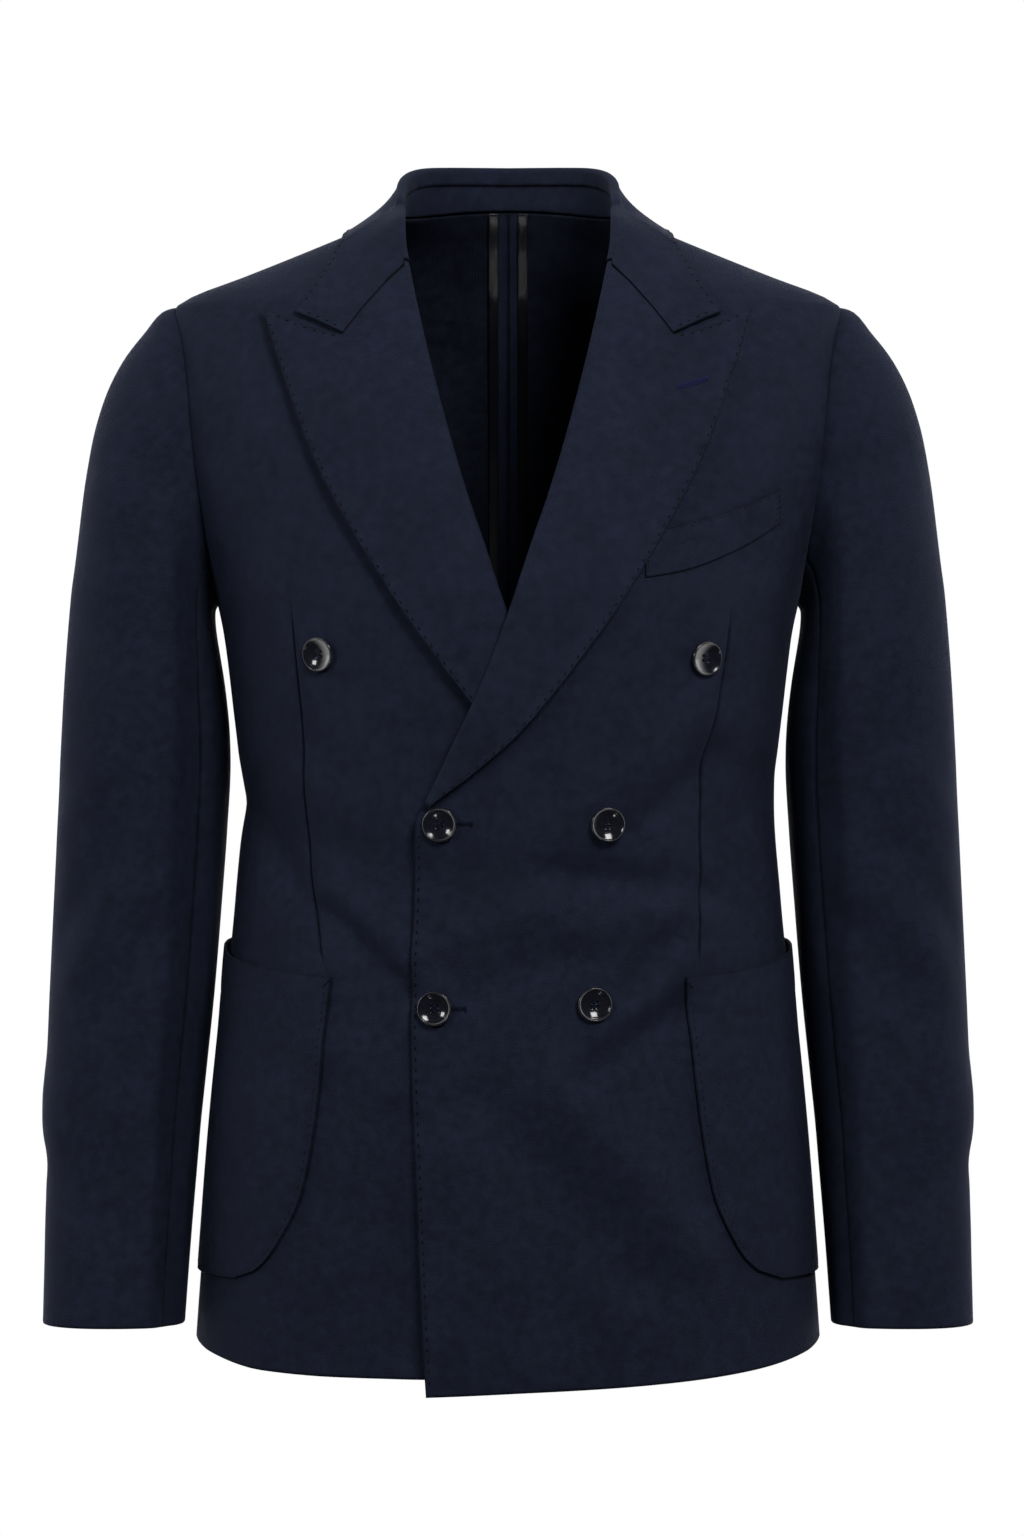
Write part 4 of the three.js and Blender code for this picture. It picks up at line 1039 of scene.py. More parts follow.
def outer_angle(z: Array, towards_back: bool) -> Array:
    """The angle of a panel's outer edge at each row: side seam, armhole or shoulder seam.

    Args:
        z: the rows' heights.
        towards_back: True for a back panel.

    Returns:
        The angles.
    """
    shift = (-1 if towards_back else 1) * SEAM_LAP / 2
    turn = np.where(np.isnan(ROW_TURN), 0.0, ROW_TURN)
    in_armhole = (turn > 0.01) & (turn < math.pi - 0.01)
    hole = Torso.angle_at_y(armhole_y(-turn if towards_back else turn), ROW_Z)
    shoulder = Torso.angle_at_y(Torso.section(z)[1] + shift, z)
    side = Torso.angle_at_y(side_seam_y(z) + shift, z)
    return np.where(in_armhole, hole, np.where(ROW_Z > ARMHOLE_BOTTOM + 1, shoulder, side))


def spread(start: Array, end: Array, length: Array, count: int) -> Array:
    """Angles from start to end: close together near both ends, and even between.

    Args:
        start: each row's first angle.
        end: each row's last angle.
        length: each row's length in millimetres.
        count: how many columns lie between those near the ends.

    Returns:
        The angles, a row for each row.
    """
    near = NEAR_EDGE / np.maximum(length, 6 * NEAR_EDGE[-1])
    middle = lerp(near[:, -1:], 1 - near[:, -1:], np.linspace(0, 1, count + 2)[None, 1:-1])
    return lerp(start, end, np.concatenate([near, middle, 1 - near[:, ::-1]], axis=1))


def row_length(start: Array, end: Array, z: Array) -> Array:
    """The torso's length round from one angle to another at each height.

    Args:
        start: each row's first angle.
        end: each row's last angle.
        z: the heights.

    Returns:
        The lengths in millimetres.
    """
    angles = lerp(start, end, np.linspace(0, 1, 24)[None])
    steps = np.diff(Torso.point(angles, np.broadcast_to(z, angles.shape)), axis=1)
    return np.linalg.norm(steps, axis=-1).sum(1, keepdims=True)


@dataclass
class Wardrobe:
    """The finishes, each made once."""

    cloth: Material = field(
        default_factory=WovenWool("navy_wool", "12151f", "2d3147", "2b3245").material)
    tape: Material = field(default_factory=SatinTape().material)
    button: Material = field(default_factory=PolyesterButton().material)
    # the seams' thread is near-black: partly navy thread's own colour, partly painted shade for the small
    # dimples that pick stitches pull into the cloth
    thread: Material = field(default_factory=SewingThread("navy_thread", "06080f").material)
    twist: Material = field(default_factory=SewingThread("buttonhole_twist", "272f57").material)
    soft_thread: Material = field(default_factory=SewingThread("soft_thread", "161a2c").material)
    button_thread: Material = field(default_factory=SewingThread("button_thread", "161c3a").material)

    def stitched(self, name: str, cut: Cut, finish: Material | None = None) -> bpy.types.Object:
        """Visible sewing as an object of its own, in the seams' own thread unless told otherwise."""
        return sewn(name, cut, finish or self.thread)


@dataclass(frozen=True)
class PickStitch:
    """A tailor's pick stitching: short dashes of thread at an even pitch inside a turned edge."""

    pitch: float = 6.5
    half: float = 1.3
    radius: float = 0.5
    inside: float = 2.7

    def along(
        self, side: Side, grid: Grid, edge: str, start: float = 4.0, end: float = 4.0, inside: float = 0.0,
    ) -> Cut:
        """Dashes along an edge of a grid.

        Args:
            side: the side that the grid is placed on.
            grid: the cloth's face on the wearer's own side.
            edge: which edge.
            start: how much of the line's start has none.
            end: how much of its end has none.
            inside: another distance inside the edge than the usual one.

        Returns:
            The threads.
        """
        inside = inside or self.inside
        line, raised = (grid.inset(edge, inside, out) for out in (0.0, 1.0))
        places, ways = spaced(line, self.pitch, start, end)
        nearest = np.argmin(((places[:, None] - line[None]) ** 2).sum(-1), axis=1)
        return threads(side, places, ways, unit(raised - line)[nearest], self.half, self.radius)


@dataclass
class Front:
    """One front, cut in one with the side: front edge, roll line, armhole, side seam and a dart."""

    side: Side
    before_dart: int = 40
    behind_dart: int = 34
    dart_depth: float = 1.7
    dart: dict[Side, tuple[tuple[float, float], ...]] = field(default_factory=lambda: {
        Side.RIGHT: ((-241, 133.5), (-270, 129.9), (-318.5, 125.8), (-367, 123.6), (-410, 122.3),
                     (-441, 118.5), (-474, 111.6)),
        Side.LEFT: ((-245, 136.1), (-270, 133.7), (-306, 128.2), (-343, 120.3), (-386, 117.3),
                    (-416, 118.2), (-444, 116.6), (-474, 115.2)),
    })

    def hem_drop(self, x: Array, z: Array) -> Array:
        """How far the lower rows drop: the hem table at x, grown in smoothly towards the hem."""
        name = "over" if self.side is Side.LEFT else "under"
        return HEM_DROPS.read(name, x) * ease(z, HEM_DROP_TOP, HEM_Z)

    def angles(self) -> tuple[Array, int]:
        """The columns' angles in each row, and the column that the dart is sewn along.

        Returns:
            Angles from the inner edge, past the dart, to the side seam and armhole, and the
            dart's column.
        """
        inner = Torso.angle_at_x(inner_x(ROW_Z), ROW_Z)
        outer = outer_angle(ROW_Z, False)
        line = Table("z x", self.dart[self.side])
        at_dart = Torso.angle_at_x(line.read("x", ROW_Z), ROW_Z)
        dart = lerp(at_dart, (inner + outer) / 2, ease(ROW_Z, self.dart[self.side][0][0], -110))
        dart = np.clip(dart, inner + 0.2 * (outer - inner), outer - 0.2 * (outer - inner))
        first = spread(inner, dart, row_length(inner, dart, ROW_Z), self.before_dart)
        second = spread(dart, outer, row_length(dart, outer, ROW_Z), self.behind_dart)
        return np.concatenate([first, second[:, 1:]], axis=1), first.shape[1] - 1

    def grid(self) -> Grid:
        """The face: the front's surface at those angles, with the dart sunk as a narrow furrow
        between two soft swells, and the seams pressed in.

        Returns:
            The face, on the wearer's own side.
        """
        angles, dart = self.angles()
        x = Torso.point(angles, np.broadcast_to(ROW_Z, angles.shape))[..., 0]
        z = ROW_Z + self.hem_drop(x, ROW_Z)
        face = Grid(front_point(self.side, angles, z, 0.0))
        across, _ = face.lengths()
        beside = across - across[:, [dart]]
        rows = self.dart[self.side]
        sewn_here = ease(ROW_Z, rows[-1][0], rows[-1][0] + 14) * ease(ROW_Z, rows[0][0], rows[0][0] - 20)
        furrow = -self.dart_depth * bell(beside, 0.9) + 0.5 * bell(np.abs(beside) - 6, 4.5)
        face = face.moved(furrow * sewn_here)
        # the distance to the dart, from which the cloth paints a thin line of shade along it
        face.from_dart = np.abs(beside) + 9 * (1 - sewn_here)
        outer, top = (far_from(face.points, line) for line in (face.points[:, -1], face.points[-1]))
        return face.moved(-0.6 * bell(outer, FURROW) - 0.5 * bell(top, FURROW))

    def make(self, wardrobe: Wardrobe) -> None:
        """Cuts and dresses the front, with the pick stitching of the front that lies on top.

        Args:
            wardrobe: the finishes.
        """
        grid = self.grid()
        grain = 3 if self.side is Side.LEFT else grid.points.shape[1] - 4
        name = f"cloth_front_{self.side.word}"
        piece = sewn(name, shell(placed(self.side, grid), CLOTH, grain), wardrobe.cloth)
        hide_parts(f"front_{self.side.word}")
        extra = []
        if self.side is Side.LEFT:
            below = int(np.searchsorted(ROW_Z[:, 0], BREAK_Z - 4))
            lower = Grid(grid.points[:below])
            dashes = PickStitch().along(self.side, lower, "first", 6, 2)
            extra = [wardrobe.stitched("pick_front_edge", dashes)]


@dataclass
class Back:
    """One back panel, from the centre seam to the side seam, armhole and shoulder."""

    side: Side
    columns: int = 50

    @staticmethod
    def angle_and_z(share: Array) -> tuple[Array, Array]:
        """Where the panel's points lie: the neck end of the rows rises towards the centre seam.

        Args:
            share: shares of the way from the centre seam to the outer edge, a row for each row.

        Returns:
            The angles and the heights.
        """
        rise = BACK_NECK_RISE + NECK_POINT_Z - FRONT_NECK_TOP_Z
        lift = rise * ease(1 - share, 0, 1) * ease(ROW_Z, -50, 0)
        z = ROW_Z + lift + (NECK_POINT_Z - FRONT_NECK_TOP_Z) * ease(ROW_Z, -8, 0) * ease(share, 0, 1)
        outer = outer_angle(np.where(np.isnan(ROW_TURN), z, ROW_Z), True)
        return lerp(Torso.back_angle_at_x(-SEAM_LAP / 2, z), outer, share), z

    def point(self, angle: Array, z: Array, out: Array | float) -> Array:
        """A point standing off the back's face: the torso's, with the back's folds.

        Args:
            angle: radians from the front's middle.
            z: heights.
            out: distances from the face.

        Returns:
            The points, on the wearer's own side.
        """
        p = Torso.point(angle, z)
        off = creased(BACK_FOLDS, self.side.value * p[..., 0], p[..., 2]) * beside_armhole(p) + out
        return p + Torso.normal(angle, z) * off[..., None]

    def grid(self) -> Grid:
        """The face, with the seams pressed in.

        Returns:
            The face, on the wearer's own side.
        """
        ends = np.broadcast_to([0.0, 1.0], (len(ROW_Z), 2))
        angle, z = self.angle_and_z(ends)
        length = row_length(angle[:, :1], angle[:, 1:], z[:, :1])
        share = spread(np.zeros_like(length), np.ones_like(length), length, self.columns)
        face = Grid(self.point(*self.angle_and_z(share), 0.0))
        lines = (face.points[:, 0], face.points[:, -1], face.points[-1])
        sunk = sum(0.6 * bell(far_from(face.points, line), FURROW) for line in lines)
        return Grid(face.points - Torso.normal(*self.angle_and_z(share)) * sunk[..., None])

    def strip(self, start: float, end: float, out: float, columns: int = 7) -> Grid:
        """A strip down the inside of the panel beside the centre seam.

        Args:
            start: the strip's first edge, from the centre.
            end: its second edge.
            out: how far its face stands off the panel's face, below 0 inside it.
            columns: how many columns it has.

        Returns:
            Its face, turned inwards.
        """
        zero = np.zeros((len(ROW_Z), 1))
        _, z = self.angle_and_z(zero)
        x = np.broadcast_to(np.linspace(end, start, columns), (len(ROW_Z), columns))
        z = np.broadcast_to(z, x.shape)
        curl = -0.35 * ease(x, start, end) * (1 + 0.5 * np.sin(z / 17.0))
        return Grid(self.point(Torso.back_angle_at_x(x, z), z, out + curl)[:, ::-1])

    def make(self, wardrobe: Wardrobe) -> None:
        """Cuts and dresses the panel, its seam allowance and the tape that binds it.

        Args:
            wardrobe: the finishes.
        """
        word = self.side.word
        grid = Grid(self.grid().points[:, ::-1])
        cut = shell(placed(self.side, grid), CLOTH, grid.points.shape[1] - 1)
        piece = sewn(f"cloth_back_{word}", cut, wardrobe.cloth)
        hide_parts(f"back_{word}")
        allowance = self.strip(0.2, 12.3, -CLOTH - 0.4)
        folded = sewn(f"cloth_seam_allowance_{word}", shell(placed(self.side, allowance), 1.0),
                      wardrobe.cloth)
        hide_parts(f"seam_allowance_{word}")
        tape = self.strip(6.3, 12.8, -CLOTH - 1.75, 6)
        binding = sewn(f"tape_seam_binding_{word}", shell(placed(self.side, tape), TAPE_CLOTH),
                       wardrobe.tape)
        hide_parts(f"seam_binding_{word}")


# Sleeves

SLEEVE = Table("ring outer_x outer_z inner_x inner_z y front back", (
    (1, 218.5, -62, 184.8, -249, 4.5, 56, 62), (2, 229, -74, 185, -254, 4, 58, 63.5),
    (3, 240, -88, 184.6, -259, 3.5, 59.5, 64.5), (4, 250, -106, 183.8, -265, 3, 61, 65),
    (5, 258.5, -130, 182.6, -272, 2.5, 62, 65), (6, 265, -162, 181, -281, 2, 62.5, 65),
    (7, 270, -200, 179.2, -292, 2, 62.5, 65), (8, 274.6, -243, 177.4, -306, 2.5, 62.5, 64.5),
    (9, 278.4, -288, 175.8, -323, 3, 62, 63.5), (10, 281.4, -336, 175.2, -346, 5, 61, 62),
    (11, 284, -384, 177.2, -384, 6.5, 59, 60), (12, 286.5, -436, 181, -436, 6, 56.5, 58),
    (13, 288.8, -490, 185.3, -490, 3.5, 54, 55.5), (14, 290.6, -540, 190.2, -540, -1.5, 51, 53),
    (15, 292.4, -574, 193.5, -574, -6, 49, 51), (16, 290.2, -594, 195, -594, -9, 47.5, 49),
    (17, 290, -640, 198.5, -640, -16, 45, 46), (18, 290.5, -694, 202, -694, -25, 42, 43),
))


@dataclass
class Sleeve:
    """A two-piece sleeve: a top and an under panel round one bent tube, set into the armhole."""

    side: Side
    power: float = 2.25
    front_seam: float = 135.0  # degrees round from the top
    back_seam: float = -120.0
    start_lap: float = 2.0
    rows: int = 150
    edge_height: float = 5.0
    edge_line: Table = Table("z around", ((-130, 101), (-300, 107), (-450, 110), (-600, 114), (-700, 119)))

    def rings(self, turns: Array) -> Array:
        """The tube's rings, each an oval |x|^p + |y|^p = 1 between its outermost and innermost
        points, after the armhole's own ring, and carried smoothly down the arm.

        Args:
            turns: radians round from the top, towards the front.

        Returns:
            Points by row and turn.
        """
        z = armhole_z(turns)
        first = Torso.point(Torso.angle_at_y(armhole_y(turns), z), z) - [self.start_lap, 0, 0]
        s = {name: np.array([row[k] for row in SLEEVE.rows])[:, None]
             for k, name in enumerate(SLEEVE.columns.split())}
        along = signed_power(np.cos(turns), 2 / self.power)[None]
        away = signed_power(np.sin(turns), 2 / self.power)[None]
        rings = np.stack([
            (s["outer_x"] + s["inner_x"]) / 2 + (s["outer_x"] - s["inner_x"]) / 2 * along,
            s["y"] - np.where(away > 0, s["front"], s["back"]) * away,
            (s["outer_z"] + s["inner_z"]) / 2 + (s["outer_z"] - s["inner_z"]) / 2 * along,
        ], axis=-1)
        rings = np.concatenate([first[None], rings])
        steps = np.linalg.norm(np.diff(rings, axis=0), axis=-1).mean(1)
        run = np.concatenate([[0], np.cumsum(steps)])
        near = np.array([0, 2.2, 4.6, 7.5])
        at = np.concatenate([near, np.linspace(10.5, run[-1] - 7.5, self.rows), run[-1] - near[2::-1]])
        return smoothed(rings, run, at)

    def grid(self, start: float, end: float) -> Grid:
        """A panel's face from one seam to the other, with the folds over degrees round and
        height, a swell where the cap is eased into the armhole, and the seams pressed in.

        Args:
            start: degrees round at the first seam.
            end: degrees round at the last.

        Returns:
            The face, the cuff first, so that across × up points out.
        """
        count = int((end - start) / 4.6)
        lap = 0.35
        shares = np.concatenate([[0, 0.7, 1.5, 2.5], np.linspace(4, count - 4, count), count - np.array(
            [2.5, 1.5, 0.7, 0])]) / count
        turns = np.radians(lerp(start - lap, end + lap, shares))
        face = Grid(self.rings(turns)[::-1, ::-1])
        around = np.degrees(turns[::-1])[None]
        around = np.where(around > 180, around - 360, around)
        folds = creased(SLEEVE_FOLDS, around, face.points[..., 2])
        _, up = face.lengths()
        from_cap = up[-1:] - up
        folds = folds * ease(-face.points[..., 2], 60, 110) * ease(from_cap, 1, 20)
        beside = around - self.edge_line.read("around", face.points[..., 2])
        pressed = self.edge_height * np.exp(-(np.hypot(beside, 2.5) - 2.5) / 12)
        pressed = pressed - 2.6 * bell(beside - 23, 13) - 1.2 * bell(beside + 24, 13)
        folds = folds + pressed * ease(-face.points[..., 2], 110, 230) * ease(from_cap, 4, 60)
        cap = 0.7 * bell(from_cap - 11, 10) * ease(np.cos(np.radians(around)), -0.2, 0.6)
        pleats = 0.22 * np.sin(np.radians(around) * 34) * bell(from_cap - 7, 6)
        pleats = pleats * ease(np.cos(np.radians(around)), 0.0, 0.7)
        face = face.moved(folds + cap + pleats)
        lines = (face.points[:, 0], face.points[:, -1], face.points[-1])
        sunk = sum(d * bell(far_from(face.points, line), FURROW) for d, line in zip((0.45, 0.45, 0.7), lines))
        return face.moved(-sunk)

    def make(self, wardrobe: Wardrobe) -> None:
        """Cuts and dresses both panels.

        Args:
            wardrobe: the finishes.
        """
        spans = {
            "top": (self.back_seam, self.front_seam, (0.285, 0.675), 0.144),
            "under": (self.front_seam, 360 + self.back_seam, (0.135, 0.50), 0.0465),
        }
        for word, (start, end, flat, area) in spans.items():
            grid = self.grid(start, end)
            cut = shell(placed(self.side, grid), CLOTH, grid.points.shape[1] // 2)
            name = f"sleeve_{word}_{self.side.word}"
            piece = sewn(f"cloth_{name}", cut, wardrobe.cloth)
            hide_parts(name)


# Lapels and collar

LAPEL_BOTTOM_Z = -371.0
LAPEL_LIFT = 3.0
ROLL_LEAD, ROLL_RADIUS = 0.5, 1.9
LAPEL_EDGE = Table("z x", (
    (-371.5, -46.6), (-368.5, -43.8), (-352, -23), (-325, 7.3), (-272, 49.5), (-222, 83), (-160, 117),
    (-104, 137.5), (-66, 149.5),
))
GORGE = ((0.0, 60.9, -36.0), (0.2, 74.5, -50.0), (0.38, 87.5, -65.5), (0.56, 101.0, -83.0))
PEAK_TOP = np.array((*GORGE, (0.7, 117, -79.2), (0.85, 133, -73.5), (1, 149.5, -66)))
COLLAR_END = np.array((*GORGE, (0.7, 111.2, -77.8), (0.85, 121.2, -73.2), (1, 131.5, -69)))
GORGE_Z = GORGE[0][2]
ROLL_STEPS, TO_NOTCH = 9, 20  # columns round a roll, and from it to the notch
LEAF_ACROSS = np.concatenate([
    np.linspace(0.045, GORGE[-1][0], TO_NOTCH), np.linspace(0.585, 0.955, 15), [0.978, 1.0],
])


def at_share(corners: Array, share: Array) -> tuple[Array, Array]:
    """x and z on the straight lines between corners (share, x, z)."""
    return np.interp(share, corners[:, 0], corners[:, 1]), np.interp(share, corners[:, 0], corners[:, 2])


def roll_frame(side: Side, z: Array) -> tuple[Array, Array, Array]:
    """A front's inner edge at heights: where the turned cloth starts, and the ways across and out.

    Args:
        side: the front's side.
        z: the heights.

    Returns:
        The points, and unit vectors across and out.
    """
    x = inner_x(z)
    edge = front_point_at_x(side, x, z, 0.0)
    above = front_point_at_x(side, inner_x(z + 2), z + 2, 0.0)
    below = front_point_at_x(side, inner_x(z - 2), z - 2, 0.0)
    out = Torso.normal(Torso.angle_at_x(x, z), z)
    away = unit(np.cross(unit(above - below), out))
    away = np.where(away[..., :1] > 0, -away, away)
    return edge + away * SEAM_GAP - out * CLOTH / 2, away, out


def rolled(start: Array, away: Array, out: Array) -> Array:
    """The cloth from its inside seam round the roll: a half circle of the roll's radius.

    Args:
        start: where the seam is.
        away: the way past the edge.
        out: the way out of the front.

    Returns:
        Points, the seam's first and then those of the roll, along the axis before the last.
    """
    turn = np.linspace(0, math.pi, ROLL_STEPS)[:, None]
    arc = (
        start[..., None, :] + away[..., None, :] * (ROLL_LEAD + ROLL_RADIUS * np.sin(turn))
        + out[..., None, :] * ROLL_RADIUS * (1 - np.cos(turn))
    )
    return np.concatenate([start[..., None, :], arc], axis=-2)


@dataclass
class Lapel:
    """A peaked lapel: the facing turned out along the roll line, lying on its front."""

    side: Side
    rows: int = 110
    belly: float = 1.5
    edge_lift: float = 2.4

    def ground(self, along: Array, across: Array) -> tuple[Array, Array]:
        """Where the leaf lies, seen from the front: straight from roll line to outer edge, bent
        towards the gorge and the peak's upper edge near its top.

        Args:
            along: shares of the way up.
            across: shares of the way from the roll line to the outer edge.

        Returns:
            x and z.
        """
        roll_z = lerp(LAPEL_BOTTOM_Z, GORGE_Z - SEAM_GAP, along)
        edge_z = lerp(LAPEL_EDGE.rows[0][0], LAPEL_EDGE.rows[-1][0], along ** 0.93)
        top_x, top_z = at_share(PEAK_TOP, across)
        straight_x = lerp(inner_x(np.array(GORGE_Z)), PEAK_TOP[-1, 1], across)
        straight_z = lerp(GORGE_Z, PEAK_TOP[-1, 2], across)
        bend = ease(along, 0.62, 1) ** 1.3
        x = lerp(inner_x(roll_z), LAPEL_EDGE.read("x", edge_z), across) + (top_x - straight_x) * bend
        z = lerp(roll_z, edge_z, across) + (top_z - SEAM_GAP - straight_z) * bend
        return x, z

    def grid(self) -> Grid:
        """The cloth's middle: the roll, then the leaf, which swells a little beside the roll.

        Returns:
            The middle surface, on the wearer's own side.
        """
        along = np.concatenate([np.linspace(0, 0.985, self.rows), [0.9925, 1.0]])[:, None]
        roll_z = lerp(LAPEL_BOTTOM_Z, GORGE_Z - SEAM_GAP, along[:, 0])
        turn = rolled(*roll_frame(self.side, roll_z))
        x, z = self.ground(along, LEAF_ACROSS[None])
        belly = self.belly * np.sin(math.pi * np.clip(LEAF_ACROSS / 0.9, 0, 1)) ** 1.2
        swell = belly * ease(along, 0.0, 0.25) * (1 - 0.6 * ease(along, 0.8, 1))
        lift = self.edge_lift * ease(LEAF_ACROSS, 0.72, 1) * ease(along, 0, 0.2)
        leaf = front_point_at_x(self.side, x, z, LAPEL_LIFT + swell + lift)
        return Grid(np.concatenate([turn, leaf], axis=1))

    def make(self, wardrobe: Wardrobe) -> Grid:
        """Cuts and dresses the lapel, with pick stitches along its outer edge and its peak.

        Args:
            wardrobe: the finishes.

        Returns:
            The leaf's face, on the wearer's own side.
        """
        middle = self.grid()
        face = middle.moved(TURNED_CLOTH / 2)
        cut = shell(placed(self.side, face), TURNED_CLOTH, face.points.shape[1] - 1)
        word = self.side.word
        piece = sewn(f"cloth_lapel_{word}", cut, wardrobe.cloth)
        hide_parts(f"lapel_{word}")
        stitch = PickStitch()
        peak = Grid(face.points[:, ROLL_STEPS + TO_NOTCH:])
        sewing = joined(stitch.along(self.side, face, "last", 10, 5), stitch.along(self.side, peak, "top", 3, 5))
        extra = [wardrobe.stitched(f"pick_lapel_{word}", sewing)]
        return face


COLLAR_LIFT, COLLAR_CURL, STAND_SEAM_DEPTH = 2.6, 0.12, 9.0
SHOULDER_ALONG, CORNER_ALONG = 6.0, 7.5
COLLAR_FOLD = Table("along x y z", (
    (0, 0, 77, 38), (1, 20, 75.5, 38), (2, 38, 69.5, 37.4), (3, 52, 57, 35.6), (4, 61, 41, 32),
    (5, 66.2, 23, 26), (6, 67.8, 6, 17.5), (7, 67.8, -10, 8.5),
))
COLLAR_BEHIND = Table("along seam_angle edge_angle edge_z", (
    (0, 180, 180, -4), (1, 165, 166, -4.2), (2, 150, 152, -4.8), (3, 135, 138, -5.8),
    (4, 120, 123, -7.4), (5, 105, 108, -9.6), (6, 90, 92, -12.4),
))
COLLAR_BEFORE = Table("along seam_angle seam_z edge_x edge_z", (
    (6, 90, 0, 101, -12.4), (7, 76, 0, 103.5, -22), (7.5, 66, 0, 106.5, -28), (8, 0, -7, 110.5, -35),
    (9, 0, -21, 120, -51), (10, 0, -35.5, 131, -68.5),
))


def neck_seam(along: Array) -> tuple[Array, Array, Array]:
    """The neck seam at the collar's stations, from 0 behind the neck to 10 at the gorge: round the
    back and the front's short top, then down the roll line.

    Args:
        along: the stations.

    Returns:
        The points, the ways out, and the ways up the cloth.
    """
    behind = along <= SHOULDER_ALONG
    angle = np.radians(np.where(
        behind, COLLAR_BEHIND.read("seam_angle", along), COLLAR_BEFORE.read("seam_angle", along),
    ))
    z = np.where(behind, NECK_POINT_Z + BACK_NECK_RISE * ease(angle / (math.pi / 2) - 1, 0, 1),
                 FRONT_NECK_TOP_Z)
    out, up = Torso.normal(angle, z), Torso.rise(angle, z)
    point = Torso.point(angle, z) - out * CLOTH / 2 + up * (SEAM_GAP + 0.5)
    rolled_from, away, roll_out = roll_frame(Side.RIGHT, COLLAR_BEFORE.read("seam_z", along))
    corner = (along == CORNER_ALONG)[:, None]
    rolled_from = np.where(corner, rolled_from + up * SEAM_GAP, rolled_from)
    away = np.where(corner, unit(away + up), away)
    down = (along >= CORNER_ALONG)[:, None]
    return np.where(down, rolled_from, point), np.where(down, roll_out, out), np.where(down, away, up)


def kept_off(points: Array, least: float) -> Array:
    """Points moved out until they stand off the torso by a distance at least.

    Args:
        points: the points.
        least: the least distance.

    Returns:
        The moved points.
    """
    for _ in range(3):
        half, middle, front, back = Torso.section(points[..., 2])
        ahead = points[..., 1] < middle
        power = np.where(ahead, FRONT_POWER, BACK_POWER) / 2
        angle = np.arctan2(
            signed_power(points[..., 0] / half, power),
            signed_power((middle - points[..., 1]) / np.where(ahead, front, back), power),
        )
        normal = Torso.normal(angle, points[..., 2])
        off = ((points - Torso.point(angle, points[..., 2])) * normal).sum(-1)
        points = points + normal * np.maximum(least - off, 0)[..., None]
    return points


